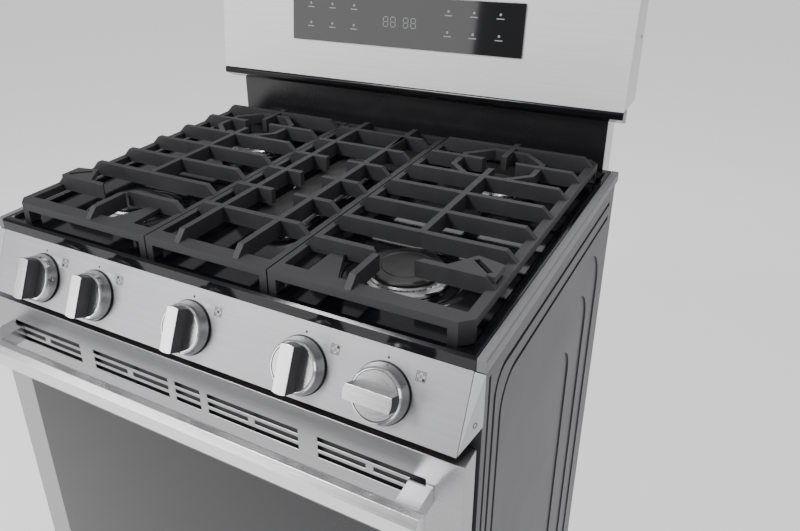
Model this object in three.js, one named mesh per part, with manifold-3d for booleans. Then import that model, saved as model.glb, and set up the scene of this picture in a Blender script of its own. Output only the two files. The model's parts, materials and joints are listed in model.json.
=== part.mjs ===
// Freestanding gas range: 30-inch class, five burners, oven with drop-down door, storage drawer.
// Millimetres, +Z up, +X to the right seen from the front, +Y towards the wall.
// Working coordinates put Y = 0 on the cooktop's front face and Z = 0 on the floor;
// the exported group is moved so that its origin is the centre of the footprint.
import * as THREE from "three";
import { mergeVertices } from "three/addons/utils/BufferGeometryUtils.js";
import { ConvexGeometry } from "three/addons/geometries/ConvexGeometry.js";
import Module from "manifold-3d";

const wasm = await Module();
wasm.setup();

// ---- Driving dimensions -------------------------------------------------
const WIDTH = 759;
const RIM_TOP = 914; // cooktop height above the floor
const TOTAL_HEIGHT = 1180;
const HANDLE_FRONT = -103;
const HOUSING_BACK = 628;
const COOKTOP_DEPTH = 575;
const COOKTOP_EDGE = 16; // height of the cooktop's front face
const STRIP_WIDTH = 11.3; // satin strip down each side of the cooktop
const SIDE_DEPTH = 566;
const SIDE_THICKNESS = 14;
const SIDE_BOTTOM = 34;
const WELL_DEPTH = 7;
const SHEET = 2;
const THIN = 1.2; // light sheet of the liner, the drawer and the housing
const GAP = 0.4;

const PANEL_BOTTOM_Y = -39; // lower front edge of the slanted control panel
const PANEL_BOTTOM_Z = 814.5;
const PANEL_BACK_Z = 831.6;
const KNOB_XS = [-272, -167, 0, 167, 272];
const KNOB_RADIUS = 34;
const KNOB_FACE_RADIUS = 29.6;
const KNOB_FACE = 18.5; // heights along the panel's normal
const KNOB_TOP = 37.5;
const KNOB_DROP = 6; // how far the knobs sit below the middle of the panel
const STEM_RADIUS = 4;

const DOOR_FRONT = -41;
const DOOR_BACK = -3;
const DOOR_BOTTOM = 290;
const DOOR_TOP = 807;
const DOOR_HALF = 377;
const WINDOW_HALF = 330;
const WINDOW_BOTTOM = 345;
const WINDOW_TOP = 722;
const PIVOT_Y = -36;
const PIVOT_Z = 297;
const HINGE_X = 318;

const DRAWER_TOP = 279;
const DRAWER_BOTTOM = 80;

const OVEN_HALF = 300;
const OVEN_BACK = 520;
const OVEN_BOTTOM = 308;
const OVEN_TOP = 790;
const FAN_Z = 560;

const GRATE_TOP = RIM_TOP + 38;
const GRATE_RAIL_TOP = RIM_TOP + 24;
const GRATE_FRONT = 18;
const GRATE_BACK = 548;
const GRATE_OUTER = 354;
const GRATE_SPLIT = 98;

const BURNERS = [
  { name: "front_left", x: -228, y: 126, base: 46, cap: 38 },
  { name: "rear_left", x: -228, y: 437, base: 40, cap: 32 },
  { name: "front_right", x: 228, y: 126, base: 54, cap: 46 },
  { name: "rear_right", x: 228, y: 437, base: 34, cap: 27 },
];
const OVAL = { halfWidth: 37, front: 180, back: 392 };

// ---- Finishes -----------------------------------------------------------
const finish = (color, roughness, metalness) => ({ color, roughness, metalness });
const STAINLESS = finish(0xbebec0, 0.32, 1);
const SATIN = finish(0x87898a, 0.5, 0.6);
const PAINTED = finish(0x76757a, 0.45, 0.3);
const ENAMEL = finish(0x0b0b0d, 0.12, 0);
const IRON = finish(0x3a3b3d, 0.75, 0.2);
const GLASS = finish(0x08090b, 0.06, 0);
const ALUMINIUM = finish(0xa8a9ab, 0.4, 1);
const CHROME = finish(0xd0d1d3, 0.15, 1);
const DARK_STEEL = finish(0x3d3e41, 0.5, 0.7);
const PLASTIC = finish(0x17181a, 0.5, 0);
const BRASS = finish(0xb08d4a, 0.35, 1);

// ---- Geometry helpers ---------------------------------------------------
function solidOf(geometry) {
  const plain = geometry.clone();
  plain.deleteAttribute("normal");
  plain.deleteAttribute("uv");
  const merged = mergeVertices(plain, 1e-4);
  return new wasm.Manifold(
    new wasm.Mesh({
      numProp: 3,
      vertProperties: new Float32Array(merged.attributes.position.array),
      triVerts: new Uint32Array(merged.index.array),
    }),
  );
}

function geometryOf(solid) {
  const mesh = solid.getMesh();
  const geometry = new THREE.BufferGeometry();
  geometry.setAttribute("position", new THREE.BufferAttribute(mesh.vertProperties, 3));
  geometry.setIndex(new THREE.BufferAttribute(mesh.triVerts, 1));
  geometry.computeVertexNormals();
  return geometry;
}

function box(x0, x1, y0, y1, z0, z1) {
  const geometry = new THREE.BoxGeometry(x1 - x0, y1 - y0, z1 - z0);
  geometry.translate((x0 + x1) / 2, (y0 + y1) / 2, (z0 + z1) / 2);
  return solidOf(geometry);
}

function shapeOf(points) {
  return new THREE.Shape(points.map(([a, b]) => new THREE.Vector2(a, b)));
}

function prism(points, length, curveSegments = 8) {
  const shape = points instanceof THREE.Shape ? points : shapeOf(points);
  return new THREE.ExtrudeGeometry(shape, { depth: length, bevelEnabled: false, curveSegments });
}

// A profile of [y, z] points drawn out along X.
function alongX(points, x0, x1) {
  const turn = new THREE.Matrix4().set(0, 0, 1, x0, 1, 0, 0, 0, 0, 1, 0, 0, 0, 0, 0, 1);
  return solidOf(prism(points, x1 - x0).applyMatrix4(turn));
}

// A profile of [x, z] points drawn out along Y.
function alongY(points, y0, y1) {
  return solidOf(prism(points, y1 - y0).rotateX(Math.PI / 2).translate(0, y1, 0));
}

// A profile of [x, y] points drawn out along Z.
function alongZ(points, z0, z1, curveSegments = 8) {
  return solidOf(prism(points, z1 - z0, curveSegments).translate(0, 0, z0));
}

function turned(profile, segments) {
  return new THREE.LatheGeometry(profile.map(([r, h]) => new THREE.Vector2(r, h)), segments).rotateX(Math.PI / 2);
}

// A round bar between two points.
function rod(from, to, radius, sides = 12) {
  const a = new THREE.Vector3(...from);
  const b = new THREE.Vector3(...to);
  const along = b.clone().sub(a);
  const geometry = new THREE.CylinderGeometry(radius, radius, along.length(), sides);
  geometry.applyQuaternion(
    new THREE.Quaternion().setFromUnitVectors(new THREE.Vector3(0, 1, 0), along.clone().normalize()),
  );
  geometry.translate(...a.add(b).multiplyScalar(0.5).toArray());
  return solidOf(geometry);
}

function join(...solids) {
  return solids.flat().reduce((sum, next) => sum.add(next));
}

function cut(solid, ...tools) {
  return tools.flat().reduce((rest, tool) => rest.subtract(tool), solid);
}

const range = (count) => Array.from({ length: count }, (_, i) => i);

// ---- The group ----------------------------------------------------------
const group = new THREE.Group();
group.position.set(0, -(HANDLE_FRONT + HOUSING_BACK) / 2, 0);

function place(name, shape, look, holder = group) {
  const geometry = shape.isBufferGeometry ? shape : geometryOf(shape);
  const mesh = new THREE.Mesh(geometry, new THREE.MeshStandardMaterial(look));
  mesh.name = name;
  holder.add(mesh);
  return mesh;
}

// ---- Side panels --------------------------------------------------------
const HALF = WIDTH / 2;
const SIDE_TOP = RIM_TOP - COOKTOP_EDGE - 1;

// Replaces each right-angled corner [y, z, radius] of an outline by an arc of short steps.
function rounded(corners) {
  return corners.flatMap(([y, z, radius = 0], i) => {
    if (radius === 0) return [[y, z]];
    const towards = ([a, b]) => [Math.sign(Math.round(a - y)), Math.sign(Math.round(b - z))];
    const u = towards(corners.at(i - 1));
    const v = towards(corners[(i + 1) % corners.length]);
    return range(7).map((step) => {
      const turn = (step / 6) * (Math.PI / 2);
      const reach = (n) => radius * (u[n] + v[n] - Math.cos(turn) * v[n] - Math.sin(turn) * u[n]);
      return [y + reach(0), z + reach(1)];
    });
  });
}

// A pressed shape of the side panel: an outline of [y, z] points, its depth, and how far it is grown.
function pressings(grow) {
  const rib = (y0, y1, z0, z1) => [
    [y0 - grow, z0 - grow],
    [y1 + grow, z0 - grow],
    [y1 + grow, z1 + grow],
    [y0 - grow, z1 + grow],
  ];
  const field = (y0, y1, z0, z1, corner) =>
    rounded([
      [y0 - grow, z0 - grow, 24 + grow],
      [y1 + grow, z0 - grow, 24 + grow],
      [y1 + grow, z1 + grow, corner + grow],
      [y0 - grow, z1 + grow, corner + grow],
    ]);
  // A groove that climbs behind the front edge, turns a corner and runs back under the top edge.
  const bend = (y0, z1, width, corner) =>
    rounded([
      [y0 - grow, SIDE_BOTTOM + 40],
      [y0 + width + grow, SIDE_BOTTOM + 40],
      [y0 + width + grow, z1 - width - grow, corner - width - grow],
      [SIDE_DEPTH - 26, z1 - width - grow],
      [SIDE_DEPTH - 26, z1 + grow],
      [y0 - grow, z1 + grow, corner + grow],
    ]);
  return [
    { outline: rib(14, 20, SIDE_BOTTOM + 40, SIDE_TOP - 12), deep: 2.2 },
    { outline: bend(32, SIDE_TOP - 20, 7, 36), deep: 2.2 },
    { outline: bend(54, SIDE_TOP - 44, 7, 48), deep: 2.2 },
    { outline: field(92, 520, 96, SIDE_TOP - 78, 80), deep: 2.2 },
    { outline: field(136, 474, 140, SIDE_TOP - 128, 74), deep: 4.6 },
    { outline: field(206, 404, 210, SIDE_TOP - 196, 60), deep: 7 },
  ];
}

function sidePanel(side) {
  const outer = side * (HALF - 1.5);
  const inner = side * (HALF - 1.5 - SIDE_THICKNESS);
  const between = (a, b) => [Math.min(a, b), Math.max(a, b)];
  const press = (grow, wall) =>
    pressings(grow).map(({ outline, deep }) => alongX(outline, ...between(outer + side, outer - side * (deep + wall))));
  const [x0, x1] = between(outer, inner);
  const [h0, h1] = between(inner - side, outer - side * 2);
  const slab = box(x0, x1, 1, SIDE_DEPTH, SIDE_BOTTOM, SIDE_TOP);
  const hollow = box(h0, h1, 6, SIDE_DEPTH - 6, SIDE_BOTTOM + 6, SIDE_TOP - 6);
  return cut(slab, press(0, 0), cut(hollow, press(2, 2)));
}
place("side_panel_left", sidePanel(-1), PAINTED);
place("side_panel_right", sidePanel(1), PAINTED);

// ---- Chassis: front frame, floor, shelf and upper rail ------------------
const IN = HALF - 1.5 - SIDE_THICKNESS - GAP;
const FRAME_FRONT = 2;
const FRAME_BACK = 3.6;
const SHELF = 288;

function chassis() {
  const front = cut(
    box(-IN, IN, FRAME_FRONT, FRAME_BACK, 60, 812),
    box(-OVEN_HALF + 2, OVEN_HALF - 2, 0, 10, OVEN_BOTTOM + 2, OVEN_TOP - 2),
    box(-342, 342, 0, 10, 72, SHELF - 12),
  );
  const floor = box(-IN, IN, 3, SIDE_DEPTH - 8, 60, 61.6);
  const shelf = box(-IN, IN, 3, SIDE_DEPTH - 8, SHELF, SHELF + 1.6);
  const kick = box(-IN, IN, 24, 25.6, SIDE_BOTTOM, 61);
  const upperRail = box(-IN, IN, 3, 40, 810.4, 812);
  const webs = [-1, 1].map((side) =>
    side < 0
      ? box(-IN, -IN + 1.6, 3, SIDE_DEPTH - 8, 61, 880)
      : box(IN - 1.6, IN, 3, SIDE_DEPTH - 8, 61, 880),
  );
  return join(front, floor, shelf, kick, upperRail, webs);
}
place("chassis", chassis(), DARK_STEEL);

function backPanel() {
  let panel = box(-IN, IN, SIDE_DEPTH - 7.5, SIDE_DEPTH - 6.3, 64, SIDE_TOP - 2);
  for (const i of range(7)) {
    const z = 640 + i * 18;
    panel = panel.subtract(box(-110, 110, SIDE_DEPTH - 10, SIDE_DEPTH, z, z + 7));
  }
  panel = panel.subtract(box(-16, 16, SIDE_DEPTH - 10, SIDE_DEPTH, FAN_Z - 16, FAN_Z + 16));
  return panel.subtract(box(226, 262, SIDE_DEPTH - 10, SIDE_DEPTH, 102, 138));
}
place("back_panel", backPanel(), finish(0x9c9ea0, 0.5, 0.8));

for (const [name, x, y] of [
  ["front_left", -330, 44],
  ["front_right", 330, 44],
  ["rear_left", -330, 520],
  ["rear_right", 330, 520],
]) {
  const profile = [
    [0, 0],
    [18, 0],
    [18, 9],
    [7, 12],
    [7, 59.5],
    [0, 59.5],
  ];
  const foot = turned(profile, 16);
  foot.translate(x, y, 0);
  place("levelling_foot_" + name, solidOf(foot), PLASTIC);
}

// ---- Oven ---------------------------------------------------------------
function ovenLiner() {
  const shell = cut(
    box(-OVEN_HALF - THIN, OVEN_HALF + THIN, FRAME_BACK + GAP, OVEN_BACK + THIN, OVEN_BOTTOM - THIN, OVEN_TOP + THIN),
    box(-OVEN_HALF, OVEN_HALF, 0, OVEN_BACK, OVEN_BOTTOM, OVEN_TOP),
  );
  const guides = [];
  for (const z of [400, 478, 556, 634]) {
    guides.push(box(-OVEN_HALF - 1, -OVEN_HALF + 9, 40, OVEN_BACK - 30, z + 2, z + 5));
    guides.push(box(OVEN_HALF - 9, OVEN_HALF + 1, 40, OVEN_BACK - 30, z + 2, z + 5));
  }
  const shaftHole = rod([0, OVEN_BACK - 5, FAN_Z], [0, OVEN_BACK + 5, FAN_Z], 8, 12);
  const lamp = box(-262, -218, OVEN_BACK - 5, OVEN_BACK + 5, 700, 744);
  return cut(join(shell, guides), shaftHole, lamp);
}
place("oven_liner", ovenLiner(), finish(0x26282d, 0.35, 0.1));

function ovenBurner(z, halfWidth, y0, y1) {
  const r = 7;
  const bars = [
    rod([-halfWidth, y0, z], [-halfWidth, y1, z], r, 10),
    rod([halfWidth, y0, z], [halfWidth, y1, z], r, 10),
    rod([-halfWidth - 4, y0 + 4, z], [halfWidth + 4, y0 + 4, z], r, 10),
    rod([0, y0, z], [0, y1 + 60, z], r, 10),
  ];
  return join(bars);
}
place("bake_burner", ovenBurner(OVEN_BOTTOM + 20, 170, 90, 430), DARK_STEEL);
place("broil_burner", ovenBurner(OVEN_TOP - 20, 120, 110, 400), DARK_STEEL);

function ovenRack(z) {
  const long = range(11).map((i) => {
    const x = -270 + i * 54;
    return box(x - 2, x + 2, 50, OVEN_BACK - 50, z, z + 4);
  });
  const cross = [50, 255, OVEN_BACK - 55].map((y) => box(-287, 287, y, y + 5, z - 3.5, z + 1));
  const edges = [-1, 1].map((side) =>
    side < 0 ? box(-290, -284, 50, OVEN_BACK - 49, z - 4, z + 2) : box(284, 290, 50, OVEN_BACK - 49, z - 4, z + 2),
  );
  return join(long, cross, edges);
}
place("oven_rack_lower", ovenRack(400 + 5 + 4.4), CHROME);
place("oven_rack_upper", ovenRack(556 + 5 + 4.4), CHROME);

function convectionFan() {
  const y = OVEN_BACK - 16;
  const hub = rod([0, y - 6, FAN_Z], [0, y + 6, FAN_Z], 16, 10);
  const shaft = rod([0, y, FAN_Z], [0, OVEN_BACK + 22, FAN_Z], 5, 12);
  const plate = rod([0, y + 2, FAN_Z], [0, y + 4, FAN_Z], 62, 16);
  const blades = range(6).map((i) => {
    const blade = new THREE.BoxGeometry(52, 13, 2);
    blade.translate(37, -3, 0);
    blade.rotateY((i * Math.PI) / 3);
    blade.translate(0, y, FAN_Z);
    return solidOf(blade);
  });
  return join(hub, shaft, plate, blades);
}
place("convection_fan", convectionFan(), DARK_STEEL);

function fanCover() {
  const y0 = OVEN_BACK - 30;
  const cup = cut(
    rod([0, y0, FAN_Z], [0, OVEN_BACK - GAP, FAN_Z], 92, 20),
    rod([0, y0 + SHEET, FAN_Z], [0, OVEN_BACK + 5, FAN_Z], 88, 20),
  );
  const slots = range(7).map((i) => {
    const z = FAN_Z - 51 + i * 17;
    const half = Math.sqrt(72 * 72 - (z - FAN_Z) ** 2) - 4;
    return box(-half, half, y0 - 5, y0 + 5, z - 3.5, z + 3.5);
  });
  return cut(cup, slots);
}
place("fan_cover", fanCover(), finish(0x26282d, 0.35, 0.1));

const lens = box(-260, -220, OVEN_BACK - 12, OVEN_BACK + 4, 702, 742);
place("oven_lamp", lens, finish(0xf3ead2, 0.2, 0));

// ---- Cooktop ------------------------------------------------------------
const TOP_HALF = HALF - STRIP_WIDTH - GAP;
const WELL_FLOOR = RIM_TOP - WELL_DEPTH;
const EDGE_BOTTOM = RIM_TOP - COOKTOP_EDGE;

function stadium(halfWidth, front, back, grow = 0) {
  const r = halfWidth + grow;
  const shape = new THREE.Shape();
  shape.moveTo(-r, front);
  shape.absarc(0, front, r, Math.PI, 2 * Math.PI, false);
  shape.lineTo(r, back);
  shape.absarc(0, back, r, 0, Math.PI, false);
  shape.closePath();
  return shape;
}

function cooktop() {
  const chamfer = 3;
  const outline = [
    [0, EDGE_BOTTOM],
    [COOKTOP_DEPTH, EDGE_BOTTOM],
    [COOKTOP_DEPTH, RIM_TOP],
    [chamfer, RIM_TOP],
    [0, RIM_TOP - chamfer],
  ];
  const slab = alongX(outline, -TOP_HALF, TOP_HALF);
  const wx = 362;
  const slope = 8;
  const well = new ConvexGeometry([
    ...[-1, 1].flatMap((s) => [
      new THREE.Vector3(s * wx, 10, RIM_TOP + 0.01),
      new THREE.Vector3(s * wx, 562, RIM_TOP + 0.01),
      new THREE.Vector3(s * (wx - slope), 10 + slope, WELL_FLOOR),
      new THREE.Vector3(s * (wx - slope), 562 - slope, WELL_FLOOR),
    ]),
  ]);
  const under = box(-TOP_HALF + 2, TOP_HALF - 2, 2, COOKTOP_DEPTH - 2, EDGE_BOTTOM - 1, WELL_FLOOR - 2.5);
  const holes = BURNERS.map((b) => rod([b.x, b.y, 880], [b.x, b.y, 930], b.base - 16, 14));
  const ovalHole = alongZ(stadium(OVAL.halfWidth - 16, OVAL.front, OVAL.back), 880, 930, 10);
  return cut(slab, solidOf(well), under, holes, ovalHole);
}
place("cooktop", cooktop(), ENAMEL);

function sideStrip(side) {
  const outline = [
    [side * (HALF - STRIP_WIDTH), EDGE_BOTTOM],
    [side * HALF, EDGE_BOTTOM],
    [side * HALF, RIM_TOP - 1.5],
    [side * (HALF - 1.5), RIM_TOP],
    [side * (HALF - STRIP_WIDTH), RIM_TOP],
  ];
  return alongY(side > 0 ? outline : outline.reverse(), 0, COOKTOP_DEPTH + 2);
}
place("side_strip_left", sideStrip(-1), SATIN);
place("side_strip_right", sideStrip(1), SATIN);

// ---- Burners ------------------------------------------------------------
const BASE_BOTTOM = WELL_FLOOR + GAP;
const BASE_TOP = WELL_FLOOR + 12;
const CAP_TOP = BASE_TOP + 7;

for (const b of BURNERS) {
  const base = turned(
    [
      [8, -22],
      [b.base - 18, -22],
      [b.base - 18, GAP],
      [b.base, GAP],
      [b.base, 4],
      [b.base - 6, 7],
      [b.base - 6, 12],
      [8, 12],
      [8, -22],
    ],
    20,
  );
  base.translate(b.x, b.y, WELL_FLOOR);
  place("burner_base_" + b.name, solidOf(base), ALUMINIUM);
  const cap = turned(
    [
      [0, 12 + GAP],
      [b.cap, 12 + GAP],
      [b.cap + 1.5, 15],
      [b.cap - 1, 18],
      [b.cap - 8, 19],
      [0, 19],
    ],
    20,
  );
  cap.translate(b.x, b.y, WELL_FLOOR);
  place("burner_cap_" + b.name, solidOf(cap), IRON);
}

function ovalBase() {
  const flange = alongZ(stadium(OVAL.halfWidth, OVAL.front, OVAL.back), BASE_BOTTOM, WELL_FLOOR + 5, 12);
  const head = alongZ(stadium(OVAL.halfWidth, OVAL.front, OVAL.back, -6), WELL_FLOOR + 4, BASE_TOP, 12);
  const throat = alongZ(stadium(OVAL.halfWidth, OVAL.front, OVAL.back, -18), WELL_FLOOR - 20, WELL_FLOOR + 5, 12);
  const bore = alongZ(stadium(OVAL.halfWidth, OVAL.front, OVAL.back, -28), WELL_FLOOR - 30, BASE_TOP + 5, 8);
  return cut(join(flange, head, throat), bore);
}
place("burner_base_centre", ovalBase(), ALUMINIUM);
place(
  "burner_cap_centre",
  alongZ(stadium(OVAL.halfWidth, OVAL.front, OVAL.back, -5), BASE_TOP + GAP, CAP_TOP, 12),
  IRON,
);

// ---- Grates -------------------------------------------------------------
const BAR = 9;

// A raised finger along X from x0 to x1 at y, with sloped ends where asked.
function fingerX(x0, x1, y, slopeStart, slopeEnd) {
  const low = GRATE_RAIL_TOP - 8;
  const outline = [
    [x0, low],
    [x1, low],
    [x1, slopeEnd ? GRATE_RAIL_TOP : GRATE_TOP],
    [x1 - (slopeEnd ? 14 : 0), GRATE_TOP],
    [x0 + (slopeStart ? 14 : 0), GRATE_TOP],
    [x0, slopeStart ? GRATE_RAIL_TOP : GRATE_TOP],
  ];
  const clean = outline.filter((p, i) => i === 0 || p[0] !== outline[i - 1][0] || p[1] !== outline[i - 1][1]);
  return alongY(clean, y - BAR / 2, y + BAR / 2);
}

function fingerY(x, y0, y1, slopeStart, slopeEnd) {
  const low = GRATE_RAIL_TOP - 8;
  const outline = [
    [y0, low],
    [y1, low],
    [y1, slopeEnd ? GRATE_RAIL_TOP : GRATE_TOP],
    [y1 - (slopeEnd ? 14 : 0), GRATE_TOP],
    [y0 + (slopeStart ? 14 : 0), GRATE_TOP],
    [y0, slopeStart ? GRATE_RAIL_TOP : GRATE_TOP],
  ];
  const clean = outline.filter((p, i) => i === 0 || p[0] !== outline[i - 1][0] || p[1] !== outline[i - 1][1]);
  return alongX(clean, x - BAR / 2, x + BAR / 2);
}

function grateFrame(x0, x1, sideLeft, sideRight) {
  const corner = 14;
  const front = [
    [x0, GRATE_FRONT + (sideLeft ? corner : 0)],
    [x0 + (sideLeft ? corner : 0), GRATE_FRONT],
    [x1 - (sideRight ? corner : 0), GRATE_FRONT],
    [x1, GRATE_FRONT + (sideRight ? corner : 0)],
    [x1, GRATE_BACK - (sideRight ? corner : 0)],
    [x1 - (sideRight ? corner : 0), GRATE_BACK],
    [x0 + (sideLeft ? corner : 0), GRATE_BACK],
    [x0, GRATE_BACK - (sideLeft ? corner : 0)],
  ];
  const clean = front.filter(
    (p, i) => p[0] !== front[(i + 7) % 8][0] || p[1] !== front[(i + 7) % 8][1],
  );
  const slab = alongZ(clean, GRATE_RAIL_TOP - 11, GRATE_RAIL_TOP);
  const left = x0 + (sideLeft ? 13 : 9);
  const right = x1 - (sideRight ? 13 : 9);
  const hollow = box(left, right, GRATE_FRONT + 23, GRATE_BACK - 13, 900, 990);
  // Legs that carry on the rim's outer faces down to the well.
  const column = alongZ(clean, WELL_FLOOR + 1, GRATE_RAIL_TOP - 5);
  const legWidth = (outer) => (outer ? 26 : 11);
  const legs = [
    box(x0 - 1, x0 + legWidth(sideLeft), GRATE_FRONT - 1, GRATE_FRONT + 18, 900, 990),
    box(x1 - legWidth(sideRight), x1 + 1, GRATE_FRONT - 1, GRATE_FRONT + 18, 900, 990),
    box(x0 - 1, x0 + legWidth(sideLeft), GRATE_BACK - 22, GRATE_BACK + 1, 900, 990),
    box(x1 - legWidth(sideRight), x1 + 1, GRATE_BACK - 22, GRATE_BACK + 1, 900, 990),
  ].map((zone) => column.intersect(zone).subtract(hollow));
  return { rim: slab.subtract(hollow), legs, left, right };
}

function ringAround(x, y, radius, width) {
  const sides = 8;
  const at = (r, i) => {
    const a = ((i + 0.5) * 2 * Math.PI) / sides;
    return [x + r * Math.cos(a), y + r * Math.sin(a)];
  };
  const outer = alongZ(range(sides).map((i) => at(radius + width / 2, i)), GRATE_RAIL_TOP - 4, GRATE_TOP - 2);
  const inner = alongZ(range(sides).map((i) => at(radius - width / 2, i)), 900, 1000);
  return outer.subtract(inner);
}

// Flat webs beside the front burner: one at rail height, one level with the fingers.
function burnerWebs(side) {
  const flip = (points) => (side > 0 ? points : points.map(([x, y]) => [-x, y]).reverse());
  const inner = [
    [141, GRATE_FRONT + 20],
    [184, GRATE_FRONT + 20],
    [161, 90],
    [160, 102],
    [143, 102],
  ];
  const outer = [
    [286, 101],
    [GRATE_OUTER - 6, 101],
    [GRATE_OUTER - 6, 134],
    [313, 142],
  ];
  const slot = [
    [312, 129],
    [337, 106],
    [342, 111],
    [317, 134],
  ];
  return [
    alongZ(flip(inner), GRATE_RAIL_TOP - 7, GRATE_RAIL_TOP - 0.5),
    alongZ(flip(outer), GRATE_TOP - 9, GRATE_TOP - 1).subtract(alongZ(flip(slot), GRATE_TOP - 20, GRATE_TOP + 5)),
  ];
}

const FINGER_YS = [100, 169, 238, 307, 376, 445, 514];
const CENTRE_FINGER_YS = [119, 197, 272, 345, 416, 486];
const FRONT_FINGER_X = 206;

function sideGrate(side) {
  const x0 = side > 0 ? GRATE_SPLIT + 1 : -GRATE_OUTER;
  const x1 = side > 0 ? GRATE_OUTER : -GRATE_SPLIT - 1;
  const { rim, legs, left, right } = grateFrame(x0, x1, side < 0, side > 0);
  const mine = BURNERS.filter((b) => Math.sign(b.x) === side);
  const [front, rear] = mine;
  let fingers = join(
    FINGER_YS.map((y) => fingerX(x0 + 2, x1 - 2, y, true, true)),
    fingerY(front.x, front.y + 30, 330, false, false),
    fingerY(rear.x, 320, GRATE_BACK - 3, false, true),
  );
  for (const [b, clear] of [
    [front, 40],
    [rear, 27],
  ]) {
    fingers = fingers.subtract(rod([b.x, b.y, 880], [b.x, b.y, 1000], clear, 16));
  }
  const approach = fingerY(side * FRONT_FINGER_X, GRATE_FRONT + 3, 90, true, false);
  const ring = ringAround(rear.x, rear.y, 66, BAR);
  return join(rim, legs, fingers, approach, burnerWebs(side), ring);
}

function centreGrate() {
  const x0 = -GRATE_SPLIT + 1;
  const x1 = GRATE_SPLIT - 1;
  const { rim, legs, left, right } = grateFrame(x0, x1, false, false);
  const fingers = CENTRE_FINGER_YS.map((y) => fingerX(left - 4.3, right + 4.3, y, true, true));
  const rails = [-47, 47].map((x) => fingerY(x, GRATE_FRONT + 5.2, GRATE_BACK - 5.4, true, true));
  const open = alongZ(stadium(18.3, OVAL.front + 6.4, OVAL.back - 7.1), 900, 1000);
  return join(rim, legs, join(fingers).subtract(open), rails);
}
place("grate_left", sideGrate(-1), IRON);
place("grate_right", sideGrate(1), IRON);
place("grate_centre", centreGrate(), IRON);

// ---- Control panel ------------------------------------------------------
const PANEL_TOP = EDGE_BOTTOM - 0.6;
const PANEL_END = 366.4;
const SLOPE = Math.atan2(-PANEL_BOTTOM_Y, PANEL_TOP - PANEL_BOTTOM_Z);
const NORMAL = new THREE.Vector3(0, -Math.cos(SLOPE), Math.sin(SLOPE));
const KNOB_Y = PANEL_BOTTOM_Y / 2 - KNOB_DROP * Math.sin(SLOPE);
const KNOB_Z = (PANEL_TOP + PANEL_BOTTOM_Z) / 2 - KNOB_DROP * Math.cos(SLOPE);

function alongNormal(x, distance) {
  return [x, KNOB_Y + NORMAL.y * distance, KNOB_Z + NORMAL.z * distance];
}

function controlPanel() {
  const outer = [
    [0, PANEL_TOP],
    [PANEL_BOTTOM_Y, PANEL_BOTTOM_Z],
    [-1.6, PANEL_BACK_Z - 0.6],
    [0.5, PANEL_BACK_Z - 0.6],
    [0.5, PANEL_TOP],
  ];
  const inner = [
    [-1.2, PANEL_TOP - 6],
    [PANEL_BOTTOM_Y + 5.5, PANEL_BOTTOM_Z + 5],
    [-0.6, PANEL_BACK_Z + 2.2],
    [10, PANEL_BACK_Z + 2.2],
    [10, PANEL_TOP - 6],
  ];
  const holes = KNOB_XS.map((x) => rod(alongNormal(x, -12), alongNormal(x, 6), STEM_RADIUS + 2.5, 10));
  return cut(alongX(outer, -PANEL_END, PANEL_END), alongX(inner, -PANEL_END + 2, PANEL_END - 2), holes);
}
place("control_panel", controlPanel(), STAINLESS);

function endCap(side) {
  const inner = side * (PANEL_END + GAP);
  const points = [
    new THREE.Vector3(inner, 0, PANEL_TOP),
    new THREE.Vector3(inner, PANEL_BOTTOM_Y, PANEL_BOTTOM_Z),
    new THREE.Vector3(inner, 0, PANEL_BACK_Z),
    new THREE.Vector3(side * HALF, 0, PANEL_TOP),
    new THREE.Vector3(side * HALF, 0, PANEL_BACK_Z),
  ];
  return solidOf(new ConvexGeometry(points));
}
place("end_cap_left", endCap(-1), finish(0xb4b5b8, 0.4, 0.4));
place("end_cap_right", endCap(1), finish(0xb4b5b8, 0.4, 0.4));

// ---- Gas train ----------------------------------------------------------
const PIPE_Y = 32;
const PIPE_Z = 842;

function gasManifold() {
  const pipe = rod([-300, PIPE_Y, PIPE_Z], [340, PIPE_Y, PIPE_Z], 9, 8);
  const valves = KNOB_XS.map((x) => {
    const valveBody = rod(alongNormal(x, -62), alongNormal(x, -33), 10, 8);
    const throat = rod(alongNormal(x, -40), alongNormal(x, -20), STEM_RADIUS + 0.8, 8);
    return valveBody.subtract(throat);
  });
  return join(pipe, valves);
}
place("gas_manifold", gasManifold(), BRASS);

function gasInlet() {
  const x = 244;
  const z = 120;
  const y = SIDE_DEPTH - 30;
  const nipple = rod([x, y, z], [x, SIDE_DEPTH + 28, z], 10.5, 16);
  const hex = rod([x, SIDE_DEPTH + 4, z], [x, SIDE_DEPTH + 16, z], 15, 6);
  const bore = rod([x, SIDE_DEPTH + 6, z], [x, SIDE_DEPTH + 40, z], 7, 16);
  return cut(join(nipple, hex), bore);
}
place("gas_inlet", gasInlet(), BRASS);

// ---- Knobs and their stems ----------------------------------------------
const KNOB_NAMES = ["1", "2", "3", "4", "5"];

function knobShape() {
  const skirt = solidOf(
    turned(
      [
        [STEM_RADIUS + 0.5, 2.5],
        [11, 2.5],
        [11, 14.5],
        [KNOB_FACE_RADIUS - 2.6, 14.5],
        [KNOB_RADIUS - 2.6, 2.5],
        [KNOB_RADIUS - 0.4, 2.5],
        [KNOB_RADIUS, 4.5],
        [KNOB_FACE_RADIUS + 0.6, KNOB_FACE - 1.2],
        [KNOB_FACE_RADIUS - 0.8, KNOB_FACE],
        [0, KNOB_FACE],
        [0, 12],
        [STEM_RADIUS + 0.5, 12],
        [STEM_RADIUS + 0.5, 2.5],
      ],
      20,
    ),
  );
  const half = 8.8;
  const end = KNOB_FACE_RADIUS - 0.9;
  const bar = [
    [-half, -end + 2.6],
    [-half + 2.2, -end],
    [half - 2.2, -end],
    [half, -end + 2.6],
    [half, end - 2.6],
    [half - 2.2, end],
    [-half + 2.2, end],
    [-half, end - 2.6],
  ];
  return join(skirt, alongZ(bar, KNOB_FACE - 1, KNOB_TOP));
}

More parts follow.
